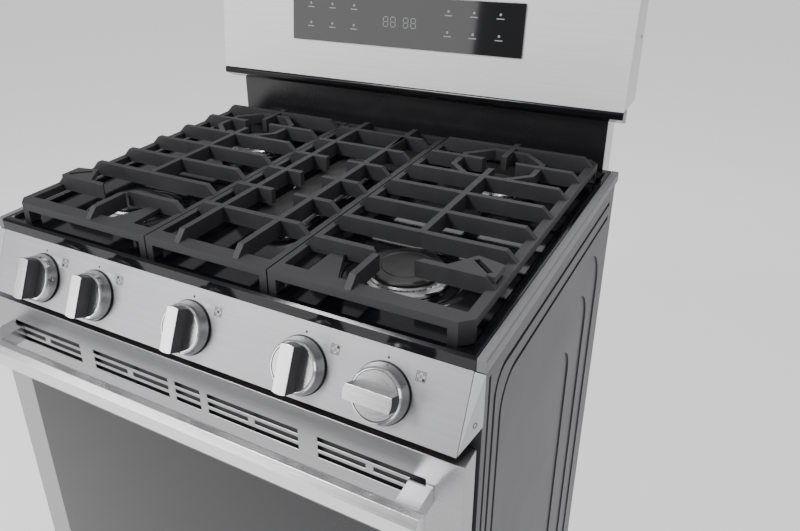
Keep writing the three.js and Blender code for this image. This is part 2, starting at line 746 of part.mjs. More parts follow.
KNOB_XS.forEach((x, i) => {
  const holder = new THREE.Group();
  holder.position.set(x, KNOB_Y, KNOB_Z);
  holder.quaternion.setFromUnitVectors(new THREE.Vector3(0, 0, 1), NORMAL);
  group.add(holder);
  const stem = turned(
    [
      [0, -34],
      [STEM_RADIUS, -34],
      [STEM_RADIUS, 11.4],
      [0, 11.4],
    ],
    10,
  );
  place("valve_stem_" + KNOB_NAMES[i], solidOf(stem), ALUMINIUM, holder);
  const knob = place("knob_" + KNOB_NAMES[i], knobShape(), STAINLESS, holder);
  if (i === KNOB_XS.length - 1) {
    knob.rotation.z = Math.PI / 2; // the front right burner's knob stands turned on
  }
});

// ---- Oven door ----------------------------------------------------------
function hingeNotches(depthFrom) {
  return [-1, 1].map((side) => {
    const x = side * HINGE_X;
    return box(x - 5, x + 5, depthFrom, 10, DOOR_BOTTOM - 5, PIVOT_Z + 11);
  });
}

function doorFrame() {
  const back = -9;
  const shell = cut(
    box(-DOOR_HALF, DOOR_HALF, DOOR_FRONT, back, DOOR_BOTTOM, DOOR_TOP),
    box(-DOOR_HALF + 2, DOOR_HALF - 2, DOOR_FRONT + 2, 0, DOOR_BOTTOM + 2, DOOR_TOP - 2),
    box(-WINDOW_HALF, WINDOW_HALF, DOOR_FRONT - 5, -20, WINDOW_BOTTOM, WINDOW_TOP),
  );
  // Vent slots in the upper band, in groups of three rows.
  const slots = [];
  const groups = [
    [-334, -197],
    [-170, -33],
    [-21, 21],
    [33, 170],
    [197, 334],
  ];
  for (const [a, b] of groups) {
    const middle = (a + b) / 2;
    for (const row of range(3)) {
      const z = RIM_TOP - 148 - row * 11.8;
      const spans = row === 1 && b - a > 60 ? [[a, middle - 5], [middle + 5, b]] : [[a, b]];
      for (const [s, t] of spans) {
        slots.push(box(s, t, DOOR_FRONT - 5, DOOR_FRONT + 6, z, z + 7));
      }
    }
  }
  return cut(shell, slots, hingeNotches(DOOR_FRONT + 2));
}
place("door_frame", doorFrame(), STAINLESS);
place(
  "door_glass",
  box(-WINDOW_HALF + GAP, WINDOW_HALF - GAP, DOOR_FRONT, DOOR_FRONT + 4, WINDOW_BOTTOM + GAP, WINDOW_TOP - GAP),
  GLASS,
);

const INNER_HALF = 240;
const INNER_LOW = 410;
const INNER_HIGH = 660;

function doorLiner() {
  const rim = cut(
    box(-DOOR_HALF + 4, DOOR_HALF - 4, -8.5, DOOR_BACK, DOOR_BOTTOM + 4, DOOR_TOP - 4),
    box(-DOOR_HALF + 6, DOOR_HALF - 6, -9, DOOR_BACK - 1.6, DOOR_BOTTOM + 6, DOOR_TOP - 6),
  );
  const core = cut(
    box(-300, 300, -32, DOOR_BACK - 0.6, 334, 744),
    box(-298.4, 298.4, -30.4, DOOR_BACK - 1.6, 335.6, 742.4),
  );
  const sight = box(-INNER_HALF, INNER_HALF, -50, 0, INNER_LOW, INNER_HIGH);
  return cut(join(rim, core), sight, hingeNotches(DOOR_FRONT));
}
place("door_liner", doorLiner(), DARK_STEEL);
place(
  "door_inner_glass",
  box(-INNER_HALF + GAP, INNER_HALF - GAP, -7, DOOR_BACK - 0.4, INNER_LOW + GAP, INNER_HIGH - GAP),
  GLASS,
);

function doorHandle() {
  const z = 757;
  const bar = [
    [HANDLE_FRONT, z - 10],
    [HANDLE_FRONT, z + 8],
    [HANDLE_FRONT + 7, z + 17],
    [HANDLE_FRONT + 16, z + 17],
    [HANDLE_FRONT + 23, z + 10],
    [HANDLE_FRONT + 23, z - 14],
    [HANDLE_FRONT + 17, z - 18],
    [HANDLE_FRONT + 5, z - 18],
  ];
  const half = 352;
  const posts = [-1, 1].map((side) => {
    const x = side * (half - 22);
    return box(x - 14, x + 14, HANDLE_FRONT + 15, DOOR_FRONT - GAP, z - 13, z + 11);
  });
  return join(alongX(bar.reverse(), -half, half), posts);
}
place("door_handle", doorHandle(), STAINLESS);

for (const [name, side] of [
  ["left", -1],
  ["right", 1],
]) {
  const x = side * HINGE_X;
  const arm = alongX(
    [
      [PIVOT_Y - 1.9, PIVOT_Z - 1.9],
      [PIVOT_Y + 8, PIVOT_Z - 2.6],
      [PIVOT_Y + 11, PIVOT_Z - 6],
      [FRAME_FRONT - GAP, PIVOT_Z - 6],
      [FRAME_FRONT - GAP, PIVOT_Z + 6],
      [PIVOT_Y + 1, PIVOT_Z + 6],
      [PIVOT_Y - 1.9, PIVOT_Z + 3],
    ],
    x - 2.5,
    x + 2.5,
  );
  place("door_hinge_" + name, arm, DARK_STEEL);
}

// ---- Storage drawer -----------------------------------------------------
function drawerFront() {
  const top = DRAWER_TOP;
  const outline = [
    [DOOR_FRONT, DRAWER_BOTTOM],
    [-22, DRAWER_BOTTOM],
    [-22, top],
    [DOOR_FRONT + 5, top],
    [DOOR_FRONT, top - 4],
  ];
  const slab = alongX(outline, -DOOR_HALF, DOOR_HALF);
  const hollow = box(-DOOR_HALF + 2, DOOR_HALF - 2, DOOR_FRONT + 2, -10, DRAWER_BOTTOM + 2, top - 8);
  const grip = box(-DOOR_HALF + 30, DOOR_HALF - 30, -30, -10, top - 9, top + 5);
  return cut(slab, hollow, grip);
}
place("drawer_front", drawerFront(), STAINLESS);

function drawerBox() {
  const half = 330;
  const z0 = 84;
  const z1 = 232;
  const shell = cut(
    box(-half, half, -21.5, 505, z0, z1),
    box(-half + THIN, half - THIN, -21.5 + THIN, 505 - THIN, z0 + THIN, z1 + 5),
  );
  const glides = [-1, 1].map((side) =>
    side < 0 ? box(-half - 7, -half + 0.6, 30, 500, 152, 157) : box(half - 0.6, half + 7, 30, 500, 152, 157),
  );
  return join(shell, glides);
}
place("drawer_box", drawerBox(), finish(0x55575b, 0.5, 0.5));

// ---- Backguard ----------------------------------------------------------
const SPLASH_HALF = 353.5;
const SPLASH_TOP = RIM_TOP + 82;
const HEAD_BOTTOM = RIM_TOP + 103;
const HEAD_FRONT = 551;
const HEAD_TOP_FRONT = 566;

place(
  "splash_panel",
  box(-SPLASH_HALF, SPLASH_HALF, COOKTOP_DEPTH + 2.5, COOKTOP_DEPTH + 6, RIM_TOP - 30, SPLASH_TOP),
  ENAMEL,
);

function backguardHousing() {
  const y0 = COOKTOP_DEPTH + 6.5;
  const back = HOUSING_BACK;
  const lower = cut(
    box(-SPLASH_HALF, SPLASH_HALF, y0, back, 840, HEAD_BOTTOM + 8),
    box(-SPLASH_HALF + THIN, SPLASH_HALF - THIN, y0 + THIN, back - THIN, 830, HEAD_BOTTOM + 20),
  );
  const headOutline = (inset) => [
    [back - inset, HEAD_BOTTOM + inset],
    [back - inset, TOTAL_HEIGHT - inset],
    [HEAD_TOP_FRONT + inset, TOTAL_HEIGHT - inset],
    [HEAD_FRONT + inset, HEAD_BOTTOM + inset],
  ];
  const head = cut(
    alongX(headOutline(0), -HALF, HALF),
    alongX(headOutline(THIN), -HALF + THIN, HALF - THIN),
    box(-SPLASH_HALF + THIN, SPLASH_HALF - THIN, y0 + THIN, back - THIN, HEAD_BOTTOM - 10, HEAD_BOTTOM + 20),
  );
  let whole = join(lower, head);
  // Vent louvres and the recess for the touch panel's glass.
  for (const i of range(5)) {
    const x = -220 + i * 110;
    whole = whole.subtract(box(x - 35, x + 35, back - 10, back + 5, 900, 910));
  }
  return whole;
}
place("backguard_housing", backguardHousing(), STAINLESS);

function lowerBand() {
  const y1 = COOKTOP_DEPTH + 1;
  const outline = [
    [y1, SPLASH_TOP - 1],
    [y1, HEAD_BOTTOM - GAP],
    [HEAD_FRONT - 0.5, HEAD_BOTTOM - GAP],
    [HEAD_FRONT - 2, HEAD_BOTTOM - 2.4],
    [HEAD_FRONT - 2, HEAD_BOTTOM - 11],
    [y1 - 6, SPLASH_TOP - 1],
  ];
  return alongX(outline.reverse(), -HALF, HALF);
}
place("backguard_band", lowerBand(), ENAMEL);

function touchGlass() {
  const lean = (HEAD_TOP_FRONT - HEAD_FRONT) / (TOTAL_HEIGHT - HEAD_BOTTOM);
  const at = (z) => HEAD_FRONT + lean * (z - HEAD_BOTTOM);
  const z0 = HEAD_BOTTOM + 66;
  const z1 = TOTAL_HEIGHT - 14;
  const outline = [
    [at(z0) - GAP, z0],
    [at(z1) - GAP, z1],
    [at(z1) - GAP - 3.2, z1],
    [at(z0) - GAP - 3.2, z0],
  ];
  return alongX(outline, -215, 215);
}
place("touch_glass", touchGlass(), GLASS);

export default group;
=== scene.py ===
"""Looks of a freestanding gas range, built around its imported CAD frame.

Each sub-assembly is a class that models its pieces with bmesh operators and dresses them in
procedural finishes. Lengths are metres in the row frame: +X right, +Y to the wall, +Z up.
"""

import json
import logging
import math
from dataclasses import dataclass, field
from enum import Enum
from typing import Any, Iterable, Optional, Sequence, Union

import bmesh
import bpy
from mathutils import Matrix, Vector


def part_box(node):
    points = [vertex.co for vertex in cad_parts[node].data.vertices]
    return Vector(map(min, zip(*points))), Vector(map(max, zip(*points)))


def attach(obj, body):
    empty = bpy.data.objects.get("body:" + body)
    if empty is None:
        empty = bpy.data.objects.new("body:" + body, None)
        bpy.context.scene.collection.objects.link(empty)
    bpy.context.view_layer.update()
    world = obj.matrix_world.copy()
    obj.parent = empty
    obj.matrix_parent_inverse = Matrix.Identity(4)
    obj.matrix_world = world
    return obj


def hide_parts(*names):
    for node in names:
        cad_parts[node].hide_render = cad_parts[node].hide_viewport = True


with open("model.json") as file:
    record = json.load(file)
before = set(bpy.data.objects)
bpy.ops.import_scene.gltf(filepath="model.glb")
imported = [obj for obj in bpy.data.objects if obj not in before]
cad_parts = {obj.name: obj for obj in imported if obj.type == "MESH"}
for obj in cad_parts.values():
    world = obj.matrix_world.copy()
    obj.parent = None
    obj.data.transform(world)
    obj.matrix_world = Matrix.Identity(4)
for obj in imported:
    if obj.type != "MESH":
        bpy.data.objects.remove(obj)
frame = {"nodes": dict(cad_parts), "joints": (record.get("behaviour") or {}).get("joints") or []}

logging.basicConfig(level=logging.INFO, format="%(levelname)s %(message)s")
log = logging.getLogger("gas_range")

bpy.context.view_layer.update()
ROOT = "root"
ACROSS = Vector((1, 0, 0))
TO_WALL = Vector((0, 1, 0))
TO_FRONT = Vector((0, -1, 0))
UPWARD = Vector((0, 0, 1))
FULL_TURN = 2 * math.pi
WELL_DEPTH = 0.007
FIT_GAP = 0.0004
Colour = tuple[float, float, float]
Number = Union[int, float]
Profile = tuple[tuple[float, float], ...]


class Axis(Enum):
    """A direction of the row frame, by its component's index."""

    X = 0
    Y = 1
    Z = 2


# ---- Shader expressions -----------------------------------------------------


class Signal:
    """A shader output that takes part in Python arithmetic."""

    def __init__(self, shader: "Shader", socket: bpy.types.NodeSocket) -> None:
        """Args:
            shader: the material being written.
            socket: the output that carries the value.
        """
        self.shader = shader
        self.socket = socket

    def _math(self, operation: str, *others: Any) -> "Signal":
        """Args:
            operation: the Math node's operation.
            others: further operands.

        Returns:
            The result of the operation.
        """
        operands = dict(enumerate(others))
        return self.shader.out(self.shader.node("ShaderNodeMath", {"operation": operation}, operands))

    def __add__(self, other: Any) -> "Signal":
        """Sum."""
        return self._math("ADD", self, other)

    __radd__ = __add__

    def __sub__(self, other: Any) -> "Signal":
        """Difference."""
        return self._math("SUBTRACT", self, other)

    def __rsub__(self, other: Any) -> "Signal":
        """Reflected difference."""
        return self._math("SUBTRACT", other, self)

    def __mul__(self, other: Any) -> "Signal":
        """Product."""
        return self._math("MULTIPLY", self, other)

    __rmul__ = __mul__

    def power(self, exponent: Number) -> "Signal":
        """This raised to an exponent."""
        return self._math("POWER", self, exponent)


class Shader:
    """A material whose nodes are written as expressions."""

    def __init__(self, name: str, **fixed: Any) -> None:
        """Args:
            name: the material's name.
            fixed: uniform values of the surface shader, with underscores for spaces.
        """
        self.material = bpy.data.materials.new(name)
        self.material.use_nodes = True
        self.tree = self.material.node_tree
        self.surface = self.tree.nodes["Principled BSDF"]
        for key, value in fixed.items():
            self.surface.inputs[key.replace("_", " ")].default_value = value

    def node(
        self, kind: str, settings: Optional[dict] = None, inputs: Optional[dict] = None
    ) -> bpy.types.Node:
        """Creates any node.

        Args:
            kind: the node's type.
            settings: attributes, set first; "stops" are a ramp's (position, colour) pairs.
            inputs: values or signals, by socket name or index.

        Returns:
            The node.
        """
        made = self.tree.nodes.new(kind)
        for key, value in (settings or {}).items():
            if key == "stops":
                elements = made.color_ramp.elements
                while len(elements) < len(value):
                    elements.new(1.0)
                for element, (position, colour) in zip(elements, value):
                    element.position = position
                    element.color = colour
            else:
                setattr(made, key, value)
        for key, value in (inputs or {}).items():
            if isinstance(value, Signal):
                self.tree.links.new(value.socket, made.inputs[key])
            else:
                made.inputs[key].default_value = value
        return made

    def out(self, node: bpy.types.Node, name: Union[str, int] = 0) -> Signal:
        """One output of a node, as a signal."""
        return Signal(self, node.outputs[name])

    def place(self, scale: Sequence[float] = (1, 1, 1), centre: Sequence[float] = (0, 0, 0)) -> Signal:
        """Object coordinates, moved so that centre is zero and then scaled."""
        source = self.out(self.node("ShaderNodeTexCoord"), "Object")
        moved = tuple(-c * s for c, s in zip(centre, scale))
        inputs = {"Vector": source, "Location": moved, "Scale": scale}
        return self.out(self.node("ShaderNodeMapping", None, inputs))

    def noise(self, where: Signal, scale: float, detail: float = 2.0, rough: float = 0.5) -> Signal:
        """Smooth noise around a half."""
        inputs = {"Vector": where, "Scale": scale, "Detail": detail, "Roughness": rough}
        return self.out(self.node("ShaderNodeTexNoise", None, inputs))

    def cells(self, where: Signal, scale: float, output: str = "Distance") -> Signal:
        """Cell noise: the distance to the nearest cell's centre, or the cell's colour."""
        return self.out(self.node("ShaderNodeTexVoronoi", None, {"Vector": where, "Scale": scale}), output)

    def ramp(self, value: Signal, low: float, high: float, start: float = 0.0, end: float = 1.0) -> Signal:
        """Value from low..high mapped to start..end, and held there."""
        return self.out(self.node("ShaderNodeMapRange", None, {0: value, 1: low, 2: high, 3: start, 4: end}))

    def blend(self, mask: Union[Signal, float], first: Any, second: Any) -> Signal:
        """A colour between first and second."""
        made = self.node("ShaderNodeMix", {"data_type": "RGBA"}, {"Factor": mask})
        for index, value in ((6, first), (7, second)):
            if isinstance(value, Signal):
                self.tree.links.new(value.socket, made.inputs[index])
            else:
                made.inputs[index].default_value = (*value, 1.0)
        return Signal(self, made.outputs[2])

    def bump(self, height: Signal, depth: float, strength: float = 1.0) -> None:
        """Height, in depths, bends the surface's normal."""
        made = self.node("ShaderNodeBump", None, {"Height": height, "Distance": depth, "Strength": strength})
        self.feed("Normal", self.out(made))

    def feed(self, socket: str, value: Signal) -> None:
        """Links a signal to the surface shader."""
        self.tree.links.new(value.socket, self.surface.inputs[socket])


# ---- Finishes ---------------------------------------------------------------


class Finish:
    """A finish that is written once and shared by every piece that wears it."""

    made: dict[Any, bpy.types.Material] = {}

    def material(self) -> bpy.types.Material:
        """The Blender material of this finish."""
        if self not in Finish.made:
            Finish.made[self] = self.write().material
        return Finish.made[self]

    def write(self) -> Shader:
        """Writes the material's nodes."""
        raise NotImplementedError


@dataclass(frozen=True)
class Brushed(Finish):
    """Metal brushed along one direction."""

    name: str
    colour: Colour
    along: Axis = Axis.X
    roughness: float = 0.3
    depth: float = 0.00005
    metallic: float = 1.0

    def write(self) -> Shader:
        """Long fine streaks in colour, roughness and height."""
        shader = Shader(self.name, Metallic=self.metallic)
        fine = [1400.0, 1400.0, 1400.0]
        fine[self.along.value] = 9.0
        coarse = [260.0, 260.0, 260.0]
        coarse[self.along.value] = 3.0
        streaks = shader.noise(shader.place(fine), 1.0, 2.0, 0.6)
        bands = shader.noise(shader.place(coarse), 1.0, 2.0, 0.5)
        cloud = shader.noise(shader.place(), 5.0, 2.0)
        tone = shader.ramp(streaks * 0.6 + bands * 0.4, 0.3, 0.7)
        dark = tuple(c * 0.86 for c in self.colour)
        shader.feed("Base Color", shader.blend(tone, dark, self.colour))
        shader.feed("Roughness", streaks * 0.12 + cloud * 0.08 + (self.roughness - 0.1))
        shader.bump(streaks * 0.7 + bands * 0.3, self.depth)
        return shader


@dataclass(frozen=True)
class Turned(Finish):
    """Metal turned on a lathe: fine rings around an axis through a centre."""

    name: str
    colour: Colour
    centre: Colour
    normal: Colour
    roughness: float = 0.26

    def write(self) -> Shader:
        """Rings by the distance from the axis, crossed by a little noise."""
        shader = Shader(self.name, Metallic=1.0)
        source = shader.out(shader.node("ShaderNodeTexCoord"), "Object")
        arm = shader.out(
            shader.node("ShaderNodeVectorMath", {"operation": "SUBTRACT"}, {0: source, 1: self.centre})
        )
        ends = {0: arm, 1: self.normal}
        projected = shader.node("ShaderNodeVectorMath", {"operation": "DOT_PRODUCT"}, ends)
        along = shader.out(projected, "Value")
        length = shader.out(shader.node("ShaderNodeVectorMath", {"operation": "LENGTH"}, {0: arm}), "Value")
        radius = (length * length - along * along).power(0.5)
        point = shader.out(
            shader.node("ShaderNodeCombineXYZ", None, {0: radius * 2600.0, 1: along * 1900.0, 2: 0.0})
        )
        rings = shader.noise(point, 1.0, 2.0, 0.6)
        shader.feed("Base Color", shader.blend(rings, tuple(c * 0.8 for c in self.colour), self.colour))
        shader.feed("Roughness", rings * 0.16 + (self.roughness - 0.08))
        shader.bump(rings, 0.00004)
        return shader


@dataclass(frozen=True)
class Paint(Finish):
    """Sprayed paint or moulded plastic with an orange-peel surface."""

    name: str
    colour: Colour
    roughness: float = 0.42
    peel: float = 0.00006
    speckle: float = 0.0
    metallic: float = 0.0
    gloss: float = 0.5

    def write(self) -> Shader:
        """Fine peel, slow roughness clouds, and metallic specks where asked."""
        shader = Shader(self.name, Metallic=self.metallic, Specular_IOR_Level=self.gloss)
        where = shader.place()
        peel = shader.noise(where, 900.0, 2.0)
        cloud = shader.noise(where, 7.0, 3.0)
        specks = shader.ramp(shader.noise(where, 2400.0, 1.0), 0.55, 0.7)
        dark = tuple(c * 0.9 for c in self.colour)
        base = shader.blend(cloud, dark, self.colour)
        bright = tuple(min(1.0, c * (1 + self.speckle)) for c in self.colour)
        shader.feed("Base Color", shader.blend(specks, base, bright))
        shader.feed("Roughness", cloud * 0.1 + peel * 0.06 + (self.roughness - 0.08))
        shader.bump(peel, self.peel)
        return shader


@dataclass(frozen=True)
class Enamel(Finish):
    """Fired porcelain enamel, glossy, with a slow wave and tiny pits."""

    name: str
    colour: Colour
    roughness: float = 0.08
    flecks: float = 0.0
    gloss: float = 0.42

    def write(self) -> Shader:
        """Deep colour under a clear coat, with flecks of white where asked."""
        shader = Shader(self.name, Specular_IOR_Level=self.gloss, IOR=1.52)
        where = shader.place()
        wave = shader.noise(where, 26.0, 2.0)
        haze = shader.noise(where, 9.0, 4.0, 0.6)
        fleck = shader.ramp(shader.cells(where, 420.0), 0.16, 0.1) * self.flecks
        dark = tuple(c * 0.75 for c in self.colour)
        base = shader.blend(haze, dark, self.colour)
        shader.feed("Base Color", shader.blend(fleck, base, (0.55, 0.56, 0.6)))
        shader.feed("Roughness", haze * 0.1 + (self.roughness - 0.03))
        shader.bump(wave, 0.0004, 0.25)
        return shader


@dataclass(frozen=True)
class CastIron(Finish):
    """Sand-cast iron under matte enamel."""

    name: str
    colour: Colour
    roughness: float = 0.62
    grain: float = 0.00022

    def write(self) -> Shader:
        """Grainy height, patches of duller coating and lighter worn spots."""
        shader = Shader(self.name, Metallic=0.0, IOR=1.5)
        where = shader.place()
        grain = shader.noise(where, 620.0, 4.0, 0.65)
        patches = shader.noise(where, 24.0, 3.0, 0.6)
        worn = shader.ramp(grain, 0.6, 0.78)
        dark = tuple(c * 0.72 for c in self.colour)
        light = tuple(c * 1.45 for c in self.colour)
        base = shader.blend(shader.ramp(patches, 0.3, 0.7), dark, self.colour)
        shader.feed("Base Color", shader.blend(worn, base, light))
        shader.feed("Roughness", patches * 0.2 + grain * 0.1 + (self.roughness - 0.15))
        shader.bump(grain, self.grain)
        return shader


@dataclass(frozen=True)
class Bare(Finish):
    """Plain metal: cast, plated or drawn."""

    name: str
    colour: Colour
    roughness: float = 0.2
    grain: float = 300.0
    depth: float = 0.00004
    heat: float = 0.0

    def write(self) -> Shader:
        """Fine grain, fingerprints of roughness and, where asked, heat tint."""
        shader = Shader(self.name, Metallic=1.0)
        where = shader.place()
        grain = shader.noise(where, self.grain, 3.0)
        smear = shader.noise(where, 18.0, 3.0, 0.6)
        tint = shader.ramp(smear, 0.45, 0.75) * self.heat
        dark = tuple(c * 0.85 for c in self.colour)
        base = shader.blend(grain, dark, self.colour)
        shader.feed("Base Color", shader.blend(tint, base, (0.35, 0.24, 0.16)))
        shader.feed("Roughness", grain * 0.1 + smear * 0.12 + (self.roughness - 0.1))
        shader.bump(grain, self.depth)
        return shader


@dataclass(frozen=True)
class Glass(Finish):
    """Dark printed glass: an even black layer under a clear polished face."""

    name: str
    colour: Colour
    dots: float = 0.0

    def write(self) -> Shader:
        """Black print, with a fine grid of lighter dots where asked."""
        shader = Shader(self.name, Specular_IOR_Level=0.4, IOR=1.52)
        where = shader.place()
        haze = shader.noise(where, 5.0, 3.0)
        dot = shader.ramp(shader.cells(where, 330.0), 0.3, 0.22) * self.dots
        base = shader.blend(haze, tuple(c * 0.8 for c in self.colour), self.colour)
        shader.feed("Base Color", shader.blend(dot, base, (0.16, 0.16, 0.17)))
        shader.feed("Roughness", haze * 0.04 + 0.03)
        shader.bump(haze, 0.0004, 0.1)
        return shader


@dataclass(frozen=True)
class Clear(Finish):
    """Clear glass with a faint tint."""

    name: str
    colour: Colour
    alpha: float = 0.3

    def write(self) -> Shader:
        """A thin see-through sheet with a polished face."""
        shader = Shader(self.name, IOR=1.5)
        haze = shader.noise(shader.place(), 9.0, 3.0)
        shader.feed("Base Color", shader.blend(haze, self.colour, tuple(c * 0.9 for c in self.colour)))
        shader.feed("Roughness", haze * 0.05 + 0.03)
        shader.feed("Alpha", haze * 0.08 + (self.alpha - 0.04))
        return shader


@dataclass(frozen=True)
class Spangle(Finish):
    """Hot-dip galvanised sheet with crystal patches."""

    name: str
    colour: Colour

    def write(self) -> Shader:
        """Cells of slightly different brightness and gloss."""
        shader = Shader(self.name, Metallic=0.9)
        where = shader.place()
        crystal = shader.noise(shader.cells(where, 90.0, "Color"), 3.0, 1.0)
        scratch = shader.noise(shader.place((40, 600, 600)), 1.0, 2.0)
        shader.feed("Base Color", shader.blend(crystal, tuple(c * 0.7 for c in self.colour), self.colour))
        shader.feed("Roughness", crystal * 0.3 + scratch * 0.06 + 0.26)
        shader.bump(scratch * 0.4 + crystal * 0.6, 0.00004)
        return shader


@dataclass(frozen=True)
class Braid(Finish):
    """Braided glass-fibre rope."""

    name: str
    colour: Colour

    def write(self) -> Shader:
        """Crossing strands."""
        shader = Shader(self.name)
        where = shader.place()
        strands = shader.cells(where, 700.0)
        fuzz = shader.noise(where, 1500.0, 3.0)
        shade = tuple(c * 0.45 for c in self.colour)
        shader.feed("Base Color", shader.blend(shader.ramp(strands, 0.1, 0.6), self.colour, shade))
        shader.feed("Roughness", fuzz * 0.1 + 0.82)
        shader.bump(strands * -1.0 + fuzz * 0.3, 0.0006)
        return shader


STAINLESS = Brushed("stainless_brushed", (0.36, 0.36, 0.37), roughness=0.36)
STAINLESS_FACE = Brushed("stainless_panel", (0.42, 0.42, 0.435), roughness=0.48)
STAINLESS_HEAD = Brushed("stainless_head", (0.76, 0.76, 0.77), roughness=0.45, metallic=0.25)
HANDLE_STEEL = Brushed("handle_steel", (0.72, 0.72, 0.73), roughness=0.24)
# Grip bar sides: the knobs' brushed metal drawn near-black, painted shade on the sides of the bar.
GRIP_SIDE_PAINTED_SHADE = Brushed("grip_side_painted_shade", (0.11, 0.11, 0.115), along=Axis.Z, roughness=0.6)
STRIP_GREY = Paint("strip_grey", (0.13, 0.13, 0.138), 0.5, speckle=1.2)
SPLASH_ENAMEL = Enamel("splash_enamel", (0.012, 0.012, 0.014), 0.26, gloss=0.5)
BAND_ENAMEL = Enamel("band_enamel", (0.006, 0.006, 0.008), 0.14, gloss=0.3)
SIDE_GREY = Paint("side_paint_grey", (0.062, 0.061, 0.068), 0.42, gloss=0.2)
CAP_GREY = Paint("cap_grey", (0.47, 0.475, 0.49), 0.4, metallic=0.3)
BLACK_ENAMEL = Enamel("black_enamel", (0.004, 0.004, 0.006), gloss=0.34)
OVEN_ENAMEL = Enamel("oven_enamel", (0.03, 0.034, 0.05), 0.2, flecks=0.6)
GRATE_IRON = CastIron("grate_iron", (0.025, 0.025, 0.028))
CAP_IRON = CastIron("cap_iron", (0.011, 0.011, 0.012), 0.5, 0.00012)
CAST_ALUMINIUM = Bare("cast_aluminium", (0.5, 0.5, 0.51), 0.42, 700.0, 0.00008)
POLISHED = Bare("polished_steel", (0.78, 0.78, 0.79), 0.12, 200.0, 0.00002)
RACK_CHROME = Bare("rack_chrome", (0.74, 0.74, 0.76), 0.16, 260.0, 0.00002)
HEATED_STEEL = Bare("heated_steel", (0.36, 0.35, 0.34), 0.42, 420.0, 0.00006, 0.7)
DARK_STEEL = Paint("dark_steel", (0.05, 0.05, 0.053), 0.46, metallic=0.4)
INNER_STEEL = Paint("drawer_steel", (0.13, 0.13, 0.137), 0.42, metallic=0.5)
BRASS = Bare("brass", (0.6, 0.43, 0.18), 0.32, 400.0)
ZINC = Spangle("zinc_sheet", (0.52, 0.53, 0.55))
BLACK_GLASS = Glass("black_glass", (0.006, 0.006, 0.008))
WINDOW_GLASS = Glass("window_glass", (0.007, 0.007, 0.009), 0.1)
INNER_GLASS = Clear("inner_glass", (0.1, 0.1, 0.11), 0.35)
LAMP_GLASS = Clear("lamp_glass", (0.86, 0.84, 0.76), 0.5)
BLACK_PLASTIC = Paint("black_plastic", (0.015, 0.015, 0.016), 0.5)
PRINT_BLACK = Paint("print_black", (0.012, 0.012, 0.013), 0.55)
PRINT_GREY = Paint("print_grey", (0.32, 0.33, 0.34), 0.5)
CERAMIC = Paint("igniter_ceramic", (0.78, 0.77, 0.73), 0.35)
ROPE = Braid("door_rope", (0.22, 0.21, 0.2))
FLOOR_PALE = Paint("pale_floor", (0.8, 0.8, 0.8), 0.6)


# ---- Modelling --------------------------------------------------------------


def facing(origin: Vector, across: Vector, out: Vector) -> Matrix:
    """A placement whose x runs across and whose z points out.

    Args:
        origin: where the placement's zero lies.
        across: the direction of its x.
        out: the direction of its z.

    Returns:
        The placement.
    """
    z = out.normalized()
    x = (across - z * across.dot(z)).normalized()
    y = z.cross(x)
    turn = Matrix((x, y, z)).transposed().to_4x4()
    return Matrix.Translation(origin) @ turn


